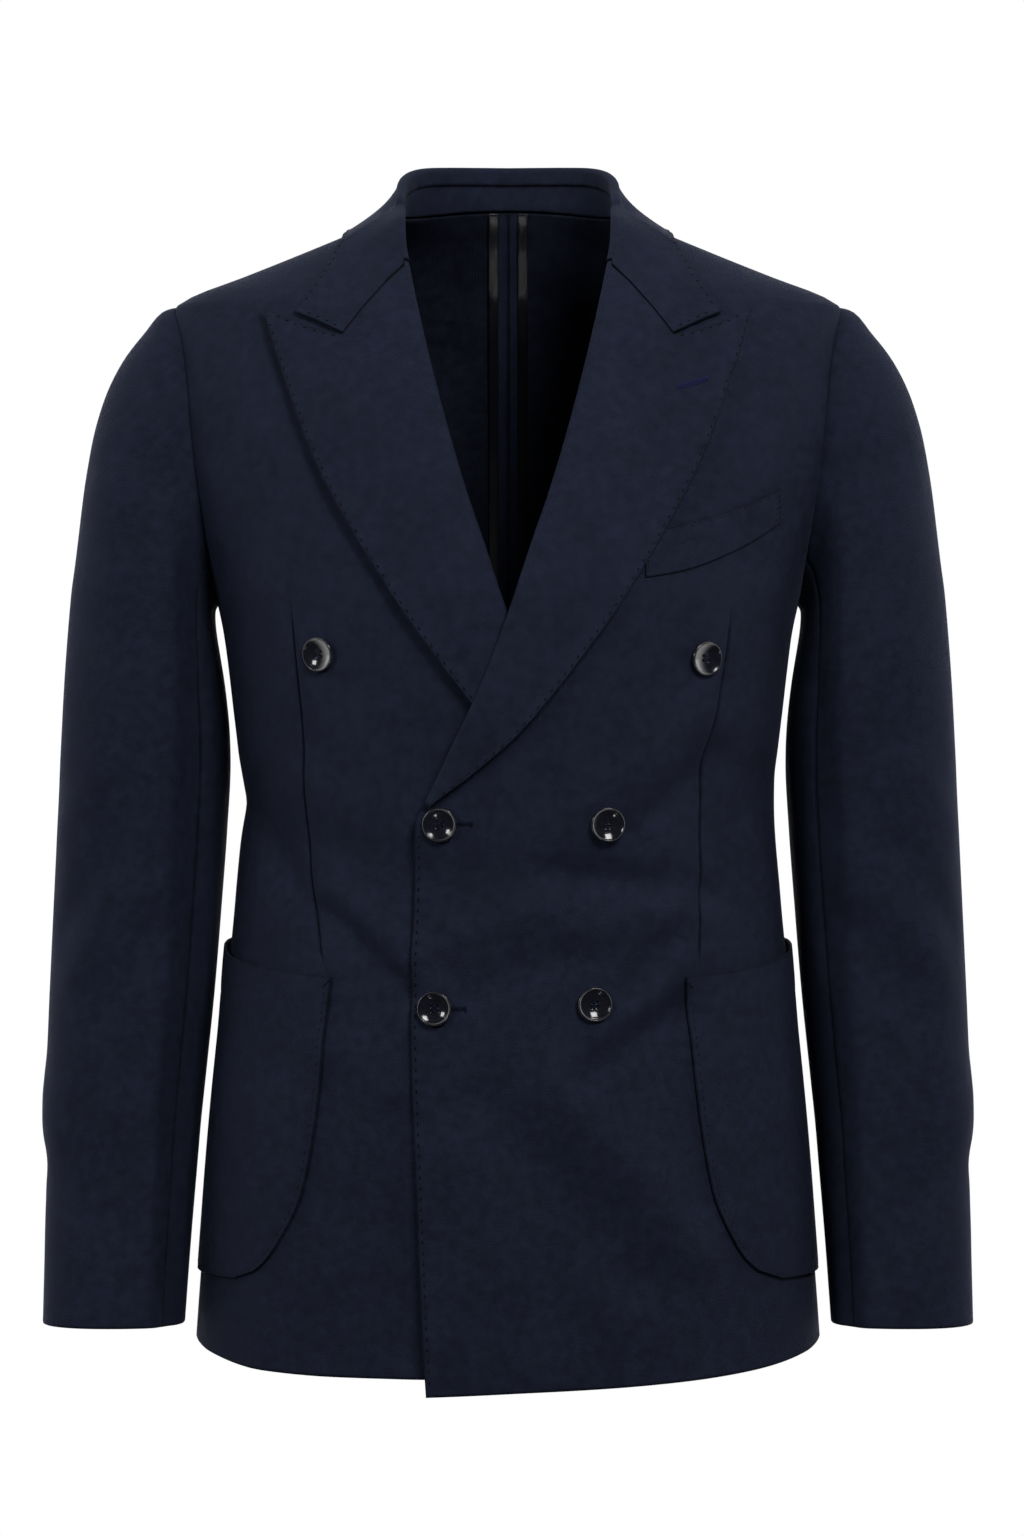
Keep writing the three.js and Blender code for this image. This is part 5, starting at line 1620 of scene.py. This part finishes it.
@dataclass
class Collar:
    """The collar: a stand that rises from the neck seam and a fall that turns over it, each one
    piece from gorge to gorge."""

    stations: tuple[float, ...] = (0, 1, 2, 3, 4, 5, 6, 7, 7.5, 8, 8.7, 9.4, 10)
    stand_end: float = 5.95
    spacing: float = 0.062

    def feet(self, along: Array) -> tuple[Array, Array, Array, Array, Array]:
        """Where the fall's roll starts at each station.

        Args:
            along: the stations.

        Returns:
            The neck seam's points, the roll's feet, the ways up and out, and the share of the way
            from seam to foot that the stand takes up.
        """
        seam, out, up = neck_seam(along)
        fold = np.stack([COLLAR_FOLD.read(name, along) for name in "xyz"], axis=-1)
        turned = (along < CORNER_ALONG)[:, None]
        over = unit(np.stack([fold[:, 0], np.maximum(fold[:, 1] - 8, 0), np.zeros(len(fold))], axis=-1))
        rise = unit(fold - seam)
        rise = unit(rise - over * (rise * over).sum(-1, keepdims=True))
        foot = fold - rise * (ROLL_LEAD + ROLL_RADIUS) - over * ROLL_RADIUS
        height = np.linalg.norm(fold - seam, axis=-1)
        share = np.where(along > SHOULDER_ALONG, 0, 1 - STAND_SEAM_DEPTH / height)
        return (seam, np.where(turned, foot, seam + up * 0.6), np.where(turned, rise, up),
                np.where(turned, over, out), share)

    @staticmethod
    def edge(along: Array) -> tuple[Array, Array]:
        """The fall's outer edge at each station, and the way up the cloth under it.

        Args:
            along: the stations.

        Returns:
            The points and unit vectors.
        """
        angle = np.radians(COLLAR_BEHIND.read("edge_angle", along))
        z = COLLAR_BEHIND.read("edge_z", along)
        behind, above = (
            Torso.point(angle, h) + Torso.normal(angle, h) * COLLAR_LIFT for h in (z, z + 4)
        )
        x, z = COLLAR_BEFORE.read("edge_x", along), COLLAR_BEFORE.read("edge_z", along)
        before = front_point_at_x(Side.RIGHT, x, z, COLLAR_LIFT)
        inward = front_point_at_x(Side.RIGHT, x - 6, z + 3, COLLAR_LIFT)
        back = (along <= SHOULDER_ALONG)[:, None]
        return np.where(back, behind, before), unit(np.where(back, above - behind, inward - before))

    @staticmethod
    def ground(along: Array, across: Array) -> Array:
        """Where the leaf lies on the front near its front end, bent there towards gorge and end.

        Args:
            along: the stations.
            across: shares of the way from the fold to the outer edge.

        Returns:
            The points.
        """
        seam_z = COLLAR_BEFORE.read("seam_z", along)
        bend = ease(along, 7, 10) ** 1.4
        end_x, end_z = at_share(COLLAR_END, across)
        straight_x = lerp(inner_x(np.array(GORGE_Z)), COLLAR_END[-1, 1], across)
        straight_z = lerp(GORGE_Z, COLLAR_END[-1, 2], across)
        x = lerp(inner_x(seam_z), COLLAR_BEFORE.read("edge_x", along), across) + (end_x - straight_x) * bend
        z = lerp(seam_z, COLLAR_BEFORE.read("edge_z", along), across) + (end_z - straight_z) * bend
        return front_point_at_x(Side.RIGHT, x, z, COLLAR_LIFT)

    def leaf(self, along: Array, up: Array, top: Array) -> Array:
        """The leaf, from beside the fold to the outer edge: a cubic Bézier curve kept off the
        shoulder, which lies flat on the front near the gorge.

        Args:
            along: the stations.
            up: the ways up the cloth.
            top: where the leaf starts.

        Returns:
            The points by station.
        """
        across = LEAF_ACROSS[None, :, None]
        end, end_up = self.edge(along)
        reach = COLLAR_CURL * np.linalg.norm(top - end, axis=-1)[:, None]
        a, b, c, d = (p[:, None] for p in (top, top - up * reach, end + end_up * reach, end))
        rest = 1 - across
        curve = rest ** 3 * a + 3 * rest ** 2 * across * b + 3 * rest * across ** 2 * c + across ** 3 * d
        hung = kept_off(curve, COLLAR_LIFT)
        laid = self.ground(along[:, None], across[..., 0])
        return kept_off(lerp(hung, laid, ease(along, 7, 9)[:, None, None]), COLLAR_LIFT)

    def round_collar(self, half: Array) -> Grid:
        """The whole collar from its half: the rows of the wearer's left, then those of the right."""
        return Grid(np.concatenate([half[::-1], mirrored(Side.RIGHT, half[1:])]))

    def fall(self) -> Grid:
        """The fall's middle surface: inside edge, fold and leaf.

        Returns:
            The middle surface.
        """
        along = np.array(self.stations)
        _, foot, up, out, _ = self.feet(along)
        roll = rolled(foot, up, out)
        lines = np.concatenate([roll, self.leaf(along, up, roll[:, -1])], axis=1)
        fine = np.concatenate([np.arange(0, 9.95, self.spacing), [9.97, 10.0]])
        lines = smoothed(lines, along, fine)
        key = np.concatenate([along[:7], [6.1], along[7:]])
        seam, foot, _, _, share = self.feet(key)
        low = lerp(seam, foot, share[:, None])
        low = np.stack([np.interp(fine, key, low[:, k]) for k in range(3)], axis=-1)
        between = lerp(low[:, None], lines[:, :1], np.array([0, 0.33, 0.67])[:, None])
        return self.round_collar(np.concatenate([between, lines], axis=1))

    def stand(self) -> Grid:
        """The stand's middle surface.

        Returns:
            The middle surface.
        """
        along = np.array([*range(6), self.stand_end])
        seam, foot, _, _, share = self.feet(along)
        top = share - SEAM_GAP / np.linalg.norm(foot - seam, axis=-1)
        lines = lerp(seam[:, None], foot[:, None], top[:, None, None] * np.linspace(0, 1, 12)[:, None])
        fine = np.linspace(0, self.stand_end, 90)
        return self.round_collar(smoothed(lines, along, fine))

    def make(self, wardrobe: Wardrobe) -> None:
        """Cuts and dresses both pieces, with pick stitches along the fall's outer edge and ends.

        Args:
            wardrobe: the finishes.
        """
        face = self.fall().moved(TURNED_CLOTH / 2)
        cut = shell(face, TURNED_CLOTH, face.points.shape[1] // 2)
        fall = sewn("cloth_collar_fall", cut, wardrobe.cloth)
        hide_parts("collar_fall")
        stitch = PickStitch()
        beyond = Grid(face.points[:, 3 + ROLL_STEPS + TO_NOTCH:])
        ends = (stitch.along(Side.LEFT, beyond, edge, 3, 5) for edge in ("bottom", "top"))
        sewing = joined(stitch.along(Side.LEFT, face, "last", 5, 5), *ends)
        extra = [wardrobe.stitched("pick_collar", sewing)]
        standing = self.stand().moved(CLOTH / 2)
        standing = standing.moved(-0.4 * bell(standing.from_edges()["first"], 2.4))
        stand = sewn("cloth_collar_stand", shell(standing, CLOTH, 6), wardrobe.cloth)
        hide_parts("collar_stand")


# Pockets and welt


@dataclass
class PatchPocket:
    """A patch pocket: it lies on its front and goes round the side, its mouth standing off a little."""

    side: Side
    gap: float = 0.9
    mouth_gap: float = 1.5
    stitched_inside: float = 4.0
    rise_ends_z: float = -600.0
    columns: int = 50
    front_edge: Table = Table("z x", (
        (-475, 106.6), (-490, 108.2), (-520, 111.2), (-565, 116.5), (-607, 124.5), (-633, 136),
        (-654, 151), (-661.5, 168),
    ))
    back_edge: Table = Table("z y", ((-475, 46), (-600, 49), (-633, 42), (-654, 26), (-661.5, 8)))
    top: Table = Table("share rise", ((0, 0), (0.25, 4), (0.5, 10), (0.72, 17.5), (1, 21)))

    def grid(self) -> Grid:
        """The pocket's face: rows between its front and back edges, with the folded hem of the
        mouth a little fuller and its lower edge marked, and the sewn edges pressed down.

        Returns:
            The face, on the wearer's own side.
        """
        z0, z1 = self.front_edge.rows[-1][0], self.front_edge.rows[0][0]
        rows = np.concatenate([[z0, z0 + 0.8, z0 + 2.2, z0 + 4.2], np.linspace(z0 + 6.5, z1 - 5, 48),
                               z1 - np.array([2.6, 1.2, 0.0])])[:, None]
        n = self.columns
        near = np.array([0, 0.35, 0.9])
        share = np.concatenate([near, np.linspace(1.6, n - 1.6, n), n - near[::-1]])[None] / n
        z = rows + self.top.read("rise", share) * ease(rows, self.rise_ends_z, z1)
        start = Torso.angle_at_x(self.front_edge.read("x", rows), z)
        end = Torso.angle_at_y(self.back_edge.read("y", rows), z)
        mouth = self.mouth_gap * ease(rows, -530, z1) * ease(share, 0, 0.5)
        hem = -0.15 * bell(rows - (z1 - 27), 3.0) + 0.25 * ease(rows, z1 - 30, z1 - 20)
        soft = 1.3 * bell(rows + 560, 60) * np.sin(math.pi * share) ** 2
        angle = lerp(start, end, share)
        face = Grid(front_point(self.side, angle, z, self.gap + mouth + hem + soft + POCKET_CLOTH))
        far = face.from_edges()
        near = np.minimum(np.minimum(far["first"], far["last"]), far["bottom"])
        return face.moved(-0.35 * bell(near - self.stitched_inside, 1.5) - 0.25 * bell(near, 1.4))

    def make(self, wardrobe: Wardrobe) -> None:
        """Cuts and dresses the pocket, with its stitching and the bar tack at its upper corner.

        Args:
            wardrobe: the finishes.
        """
        grid = self.grid()
        word = self.side.word
        piece = sewn(f"cloth_patch_pocket_{word}", shell(placed(self.side, grid), POCKET_CLOTH, 4),
                     wardrobe.cloth)
        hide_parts(f"patch_pocket_{word}")
        stitch = PickStitch(pitch=5.4, half=1.1, radius=0.24, inside=self.stitched_inside)
        edges = (("first", 8, 6), ("bottom", 6, 6), ("last", 6, 8))
        sewing = joined(*(stitch.along(self.side, grid, *edge) for edge in edges))
        tack = BarTack(self.side, (108.6, -476.6), (113.0, -481.4))
        pieces = [wardrobe.stitched(f"stitches_pocket_{word}", sewing),
                  wardrobe.stitched(f"tack_pocket_{word}", tack.on(grid), wardrobe.soft_thread)]


def lying_on(grid: Grid, x: Array, z: Array, out: float = 0.0) -> tuple[Array, Array]:
    """Points of a grid seen from the front at places across and up, and the ways out there.

    Args:
        grid: the cloth's face on the wearer's own side.
        x: places across.
        z: places up.
        out: how far off the face.

    Returns:
        The points and the normals, each the mean of the four nearest points' by nearness.
    """
    points, normals = grid.points.reshape(-1, 3), grid.normals().reshape(-1, 3)
    away = np.hypot(points[:, 0] - x[:, None], points[:, 2] - z[:, None]) + 50.0 * (normals[:, 1] > 0)
    nearest = np.argsort(away, axis=1)[:, :4]
    weight = 1 / (np.take_along_axis(away, nearest, 1) + 0.05)
    weight = (weight / weight.sum(1, keepdims=True))[..., None]
    normal = unit((normals[nearest] * weight).sum(1))
    y = (points[nearest][..., 1:2] * weight).sum(1)[:, 0]
    return np.stack([x, y, z], axis=-1) + normal * out, normal


@dataclass(frozen=True)
class BarTack:
    """A short bar of satin stitches across a place that bears a pull."""

    side: Side
    start: tuple[float, float]
    end: tuple[float, float]
    pitch: float = 0.55
    half: float = 0.85
    radius: float = 0.22

    def on(self, grid: Grid) -> Cut:
        """The bar's threads, lying across its line on a face.

        Args:
            grid: the cloth's face on the wearer's own side.

        Returns:
            The threads.
        """
        length = math.dist(self.start, self.end)
        at = np.arange(self.pitch / 2, length, self.pitch) / length
        x, z = (lerp(a, b, at) for a, b in zip(self.start, self.end))
        places, outs = lying_on(grid, x, z, 0.12)
        run = unit(np.array([self.end[0] - self.start[0], 0.0, self.end[1] - self.start[1]]))
        ways = unit(np.cross(outs, run))
        return threads(self.side, places, ways, outs, self.half, self.radius)


@dataclass(frozen=True)
class Buttonhole:
    """A worked buttonhole: buttonhole stitches side by side along both lips of a slit."""

    side: Side
    start: tuple[float, float]
    end: tuple[float, float]
    pitch: float = 0.62
    half: float = 0.9
    radius: float = 0.3

    def on(self, grid: Grid) -> Cut:
        """The stitches on a face: two rows across the slit's sides, a purl of knots along each lip,
        and a bar across its end.

        Args:
            grid: the cloth's face on the wearer's own side.

        Returns:
            The threads.
        """
        length = math.dist(self.start, self.end)
        run = unit(np.array([self.end[0] - self.start[0], 0.0, self.end[1] - self.start[1]]))
        rise = np.array([-run[2], 0.0, run[0]])
        at = np.arange(0, length, self.pitch)
        cuts = []
        for lip in (-1, 1):
            for off, half, along in ((self.half + 0.15, self.half, False), (0.32, 0.42, True)):
                x = self.start[0] + run[0] * at + rise[0] * off * lip
                z = self.start[1] + run[2] * at + rise[2] * off * lip
                places, outs = lying_on(grid, x, z, 0.34 if along else 0.14)
                way = run if along else rise
                ways = unit(np.broadcast_to(way, places.shape) - outs * (outs @ way)[:, None])
                cuts.append(threads(self.side, places, ways, outs, half, self.radius))
        bar = BarTack(self.side, (self.end[0] - rise[0] * 2, self.end[1] - rise[2] * 2),
                      (self.end[0] + rise[0] * 2, self.end[1] + rise[2] * 2))
        return joined(*cuts, bar.on(grid))


@dataclass
class BreastWelt:
    """The breast pocket's welt, a slanting band laid on the wearer's left front."""

    gap: float = 0.5
    line: Table = Table("x top bottom", (
        (82, -209, -233), (97, -202.5, -230.2), (113, -198, -226), (129, -193, -219.5),
        (142, -188, -213.2), (155, -182.2, -205.5), (168, -176, -197.2),
    ))

    def grid(self) -> Grid:
        """The welt's face, its ends and lower edge pressed down where they are sewn.

        Returns:
            The face, on the wearer's own side.
        """
        first, last = self.line.rows[0][0], self.line.rows[-1][0]
        x = np.concatenate([first + np.array([0, 0.7, 1.8]), np.linspace(first + 3.4, last - 3.4, 46),
                            last - np.array([1.8, 0.7, 0])])[None]
        share = np.concatenate([[0, 0.03, 0.08], np.linspace(0.15, 0.85, 10), [0.92, 0.97, 1]])[:, None]
        z = lerp(self.line.read("bottom", x), self.line.read("top", x), share)
        face = Grid(front_point_at_x(Side.LEFT, x, z, self.gap + WELT_CLOTH))
        far = face.from_edges()
        ends = np.minimum(far["first"], far["last"])
        soft = 0.7 * ease(share, 0.1, 0.8) * ease(ends, 0, 20)
        return face.moved(soft - 0.3 * bell(ends - 2.4, 1.2))

    def make(self, wardrobe: Wardrobe) -> None:
        """Cuts and dresses the welt, sewn at both ends and pick stitched along its top.

        Args:
            wardrobe: the finishes.
        """
        grid = self.grid()
        piece = sewn("cloth_breast_welt", shell(grid, WELT_CLOTH, 3), wardrobe.cloth)
        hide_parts("breast_welt")
        fine = PickStitch(pitch=3.4, half=0.95, radius=0.28)
        ends = (("first", 1.9), ("last", 1.9), ("last", 4.6))
        sewing = joined(
            *(fine.along(Side.LEFT, grid, edge, 2, 2, inside) for edge, inside in ends),
            PickStitch(radius=0.3).along(Side.LEFT, grid, "top", 4, 6, 2.2),
        )
        extra = [wardrobe.stitched("stitches_breast_welt", sewing)]


# Buttons


@dataclass
class Button:
    """A four-hole button, dished, with a raised rim, sewn on with two bars of thread."""

    name: str
    side: Side
    x: float
    z: float
    radius: float = 10.7
    rim_width: float = 1.7
    rim_height: float = 3.4
    dish: float = 2.8
    underside: float = 0.9
    hole_radius: float = 1.0
    hole_from_centre: float = 2.1
    clearance: float = 0.5
    bowl: float = 1.7
    turns: int = 96

    def profile(self) -> Array:
        """Radius and height from under the middle round the rim to the middle of the dish.

        Returns:
            Rows of radius and height.
        """
        r = self.radius
        corners = np.array([
            (0, 0), (r - 1.6, 0), (r - 0.4, self.underside), (r, 2), (r - 0.5, self.rim_height - 0.3),
            (r - 1, self.rim_height), (r - self.rim_width, self.rim_height - 0.6),
            (r - self.rim_width - 0.8, self.dish - 0.4), (0, self.dish - 0.4),
        ])
        run = np.concatenate([[0], np.cumsum(np.linalg.norm(np.diff(corners, axis=0), axis=1))])
        at = np.concatenate([
            [0.0], np.linspace(run[1] * 0.4, run[1], 4), np.linspace(run[1], run[7], 36)[1:],
            np.linspace(run[7], run[8] - 3.9, 8)[1:], np.linspace(run[8] - 3.7, run[8] - 0.25, 17), run[8:],
        ])
        line = np.stack([np.interp(at, run, corners[:, k]) for k in (0, 1)], axis=-1)
        for _ in range(3):
            line[2:-2] = (line[1:-3] + 2 * line[2:-2] + line[3:-1]) / 4
        inner = self.radius - self.rim_width - 0.8
        bowl = self.bowl * (1 - (line[:, 0] / inner) ** 2.1) * (line[:, 0] < inner)
        line[len(line) // 3:, 1] -= bowl[len(line) // 3:]
        return line

    def cut(self) -> Cut:
        """The button: the profile turned round, with four pits whose depth is a steep step of the
        distance to each hole's middle, and one point at each pole.

        Returns:
            The closed mesh on its front.
        """
        line = self.profile()
        turn = np.arange(self.turns) * 2 * math.pi / self.turns
        ring, height = line[1:-1, 0], line[1:-1, 1]
        a, b = ring[:, None] * np.cos(turn), ring[:, None] * np.sin(turn)
        h = np.broadcast_to(height[:, None], a.shape).copy()
        apart = self.hole_from_centre / math.sqrt(2)
        top = (np.arange(len(ring)) > len(ring) // 2)[:, None] & (np.abs(a) < 6)
        for u in (-apart, apart):
            for v in (-apart, apart):
                pit = ease(np.hypot(a - u, b - v), self.hole_radius + 0.22, self.hole_radius - 0.12)
                h -= np.where(top, (self.dish - self.bowl - 0.3) * pit, 0)
        local = np.stack([a, b, h], axis=-1).reshape(-1, 3)
        points = np.concatenate([local, [[0, 0, 0], [0, 0, line[-1, 1]]]])
        index = np.arange(len(local)).reshape(a.shape)
        quads = np.stack([
            index[:-1].ravel(), np.roll(index, -1, 1)[:-1].ravel(),
            np.roll(index, -1, 1)[1:].ravel(), index[1:].ravel(),
        ], axis=1)
        start, end = index[0], index[-1]
        fans = np.concatenate([
            np.stack([np.roll(start, -1), start, np.full(self.turns, len(local))], axis=1),
            np.stack([end, np.roll(end, -1), np.full(self.turns, len(local) + 1)], axis=1),
        ])
        uv = points[:, :2] * METRES
        return Cut(self.upon_front(points), [quads, fans], uv, np.full(len(points), 9.0))

    def frame(self) -> tuple[Array, Array]:
        """The button's foot on its front, and three unit vectors: along, across and out.

        Returns:
            The foot and the vectors.
        """
        z = np.array([self.z])
        angle = Torso.angle_at_x(np.array([self.x]), z)
        out = mirrored(self.side, Torso.normal(angle, z))[0]
        foot = mirrored(self.side, front_point(self.side, angle, z, self.clearance))[0]
        along = unit(np.cross(np.array([0.0, 0.0, 1.0]), out))
        return foot, np.stack([along, np.cross(out, along), out])

    def upon_front(self, points: Array) -> Array:
        """The button's own points set down on its front."""
        foot, axes = self.frame()
        return foot + points @ axes

    def make(self, wardrobe: Wardrobe) -> None:
        """Turns the button and sews it on: three strands between the holes of each row.

        Args:
            wardrobe: the finishes.
        """
        body = sewn(f"gloss_{self.name}", self.cut(), wardrobe.button)
        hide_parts(self.name)
        _, axes = self.frame()
        apart = self.hole_from_centre / math.sqrt(2)
        places = np.array([
            (0, row + 0.36 * k, self.dish - self.bowl + (0.34 if k == 0 else 0.2))
            for row in (-apart, apart) for k in (-1, 0, 1)
        ], float)
        along, out = (np.broadcast_to(axes[k], places.shape) for k in (0, 2))
        kept = Side.LEFT  # the points are on their side already, and this one leaves X as it is
        strands = threads(kept, self.upon_front(places), along, out, apart + 0.55, 0.24)
        sewn(f"strands_{self.name}", strands, wardrobe.button_thread)


BUTTONS = (
    Button("button_upper_right", Side.RIGHT, 114.3, -278.5),
    Button("button_upper_left", Side.LEFT, 119.3, -280.8),
    Button("button_middle_fastened", Side.LEFT, -40.6, -381.8),
    Button("button_middle_left", Side.LEFT, 58.9, -381.8),
    Button("button_lower_fastened", Side.LEFT, -44.2, -493.8),
    Button("button_lower_left", Side.LEFT, 52.1, -491.4),
)


# The whole


@dataclass
class Blazer:
    """The blazer: its pieces in the order of making up."""

    wardrobe: Wardrobe

    def make(self) -> None:
        """Builds every piece and its sewing."""
        for side in Side:
            Front(side).make(self.wardrobe)
        for side in Side:
            Back(side).make(self.wardrobe)
            Sleeve(side).make(self.wardrobe)
            PatchPocket(side).make(self.wardrobe)
        lapels = {side: Lapel(side).make(self.wardrobe) for side in Side}
        Collar().make(self.wardrobe)
        BreastWelt().make(self.wardrobe)
        for button in BUTTONS:
            button.make(self.wardrobe)
        self.sew(lapels[Side.LEFT])

    def sew(self, lapel: Grid) -> None:
        """Works the buttonholes of the front that lies on top, that of its lapel, and the tack at
        the foot of the roll.

        Args:
            lapel: the face of the lapel on top.
        """
        face = Front(Side.LEFT).grid()
        for name, start, end in (
            ("buttonhole_middle", (-43, -381.8), (-21.8, -381.8)),
            ("buttonhole_lower", (-46, -493.8), (-25.5, -493.8)),
        ):
            hole = Buttonhole(Side.LEFT, start, end, half=0.7, radius=0.17)
            self.wardrobe.stitched(name, hole.on(face), self.wardrobe.soft_thread)
        hole = Buttonhole(Side.LEFT, (103.8, -115.7), (122.4, -109.7))
        self.wardrobe.stitched("buttonhole_lapel", hole.on(lapel), self.wardrobe.twist)
        tack = BarTack(Side.LEFT, (-53.0, -377.2), (-51.2, -375.4))
        self.wardrobe.stitched("tack_roll_line", tack.on(face), self.wardrobe.twist)


@dataclass(frozen=True)
class Softbox:
    """A square lamp that faces a point, its beam narrowed to a spread in degrees."""

    name: str
    place: tuple[float, float, float]
    watts: float
    size: float
    aim: tuple[float, float, float]
    spread: float = 180.0

    def hang(self) -> None:
        """Sets the lamp, turned so that its own -Z points at the aim."""
        data = bpy.data.lights.new(self.name, "AREA")
        data.energy, data.size, data.spread = self.watts, self.size, math.radians(self.spread)
        lamp = bpy.data.objects.new(self.name, data)
        lamp.location = self.place
        away = np.subtract(self.place, self.aim)
        lamp.rotation_euler = (
            math.atan2(math.hypot(away[0], away[1]), away[2]), 0, math.atan2(away[0], -away[1]),
        )
        bpy.context.scene.collection.objects.link(lamp)


LIGHTS = (
    Softbox("key", (0.85, -1.95, 1.15), 34.0, 0.85, (0, 0, -0.25)),
    Softbox("fill", (-1.55, -1.6, 0.35), 11.0, 0.5, (0, 0, -0.35)),
    Softbox("rim_left", (1.9, 0.5, 0.2), 7.0, 1.2, (0.25, 0, -0.35)),
    Softbox("rim_right", (-1.9, 0.5, 0.2), 7.0, 1.2, (-0.25, 0, -0.35)),
    Softbox("neck", (0, -1.6, -1.35), 0.02, 0.25, (0, 0.09, -0.03), 14),
)


@dataclass
class Studio:
    """A photographer's studio: pale floor, white surroundings and soft lights."""

    floor_z: float = -1.5
    floor_radius: float = 3.9
    camera_place: tuple[float, float, float] = (0.0025, -3.2, -0.3478)
    lens: float = 119.05

    def build(self) -> None:
        """Sets the camera, the floor, the lights and the surroundings."""
        scene = bpy.context.scene
        camera = bpy.data.objects.new("camera", bpy.data.cameras.new("camera"))
        camera.location = self.camera_place
        camera.rotation_euler = (math.radians(90), 0, 0)
        camera.data.lens = self.lens
        camera.data.sensor_width = 36.0
        scene.collection.objects.link(camera)
        scene.camera = camera
        scene.view_settings.view_transform = "Standard"
        turn = np.arange(96) * 2 * math.pi / 96
        disc = np.stack([
            self.floor_radius * np.cos(turn), self.floor_radius * np.sin(turn), np.full(96, self.floor_z),
        ], axis=-1)
        mesh = bpy.data.meshes.new("floor")
        mesh.from_pydata(disc, [], [list(range(96))])
        mesh.materials.append(StudioPaper().material())
        floor = bpy.data.objects.new("floor", mesh)
        scene.collection.objects.link(floor)
        floor.visible_diffuse = floor.visible_glossy = False
        for lamp in LIGHTS:
            lamp.hang()
        self.surroundings()

    @staticmethod
    def surroundings() -> None:
        """White to the camera; its light comes from the sides, from above and from behind, and hardly
        any from the dark side where the camera stands. What shines sees brighter panels at the sides."""
        world = bpy.data.worlds.new("studio")
        world.use_nodes = True
        tree = world.node_tree
        tree.nodes.clear()
        generated = put(tree, "ShaderNodeTexCoord").outputs["Generated"]
        way = put(tree, "ShaderNodeSeparateXYZ", {0: generated}).outputs
        around = ramp(tree, way[1], -0.8, 0.25, 0.05, 0.46, kind="SMOOTHSTEP")
        seen = calc(tree, "MULTIPLY", around, ramp(tree, way[2], -1.0, 1.0, 0.5, 1.2))
        panels = ramp(tree, way[1], -0.45, 0.1, 0.01, 2.4, kind="SMOOTHSTEP")
        rays = put(tree, "ShaderNodeLightPath").outputs
        for ray, strength in (("Is Glossy Ray", panels), ("Is Camera Ray", 1.0)):
            seen = put(tree, "ShaderNodeMix", {0: rays[ray], 2: seen, 3: strength}, data_type="FLOAT").outputs[0]
        shade = put(tree, "ShaderNodeBackground", {"Color": (1.0, 1.0, 1.0, 1.0), "Strength": seen})
        put(tree, "ShaderNodeOutputWorld", {"Surface": shade.outputs[0]})
        bpy.context.scene.world = world


def main() -> None:
    """Builds the blazer on its solids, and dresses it."""
    logging.basicConfig(level=logging.INFO, format="%(message)s")
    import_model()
    Blazer(Wardrobe()).make()
    Studio().build()


if __name__ == "__main__":
    main()
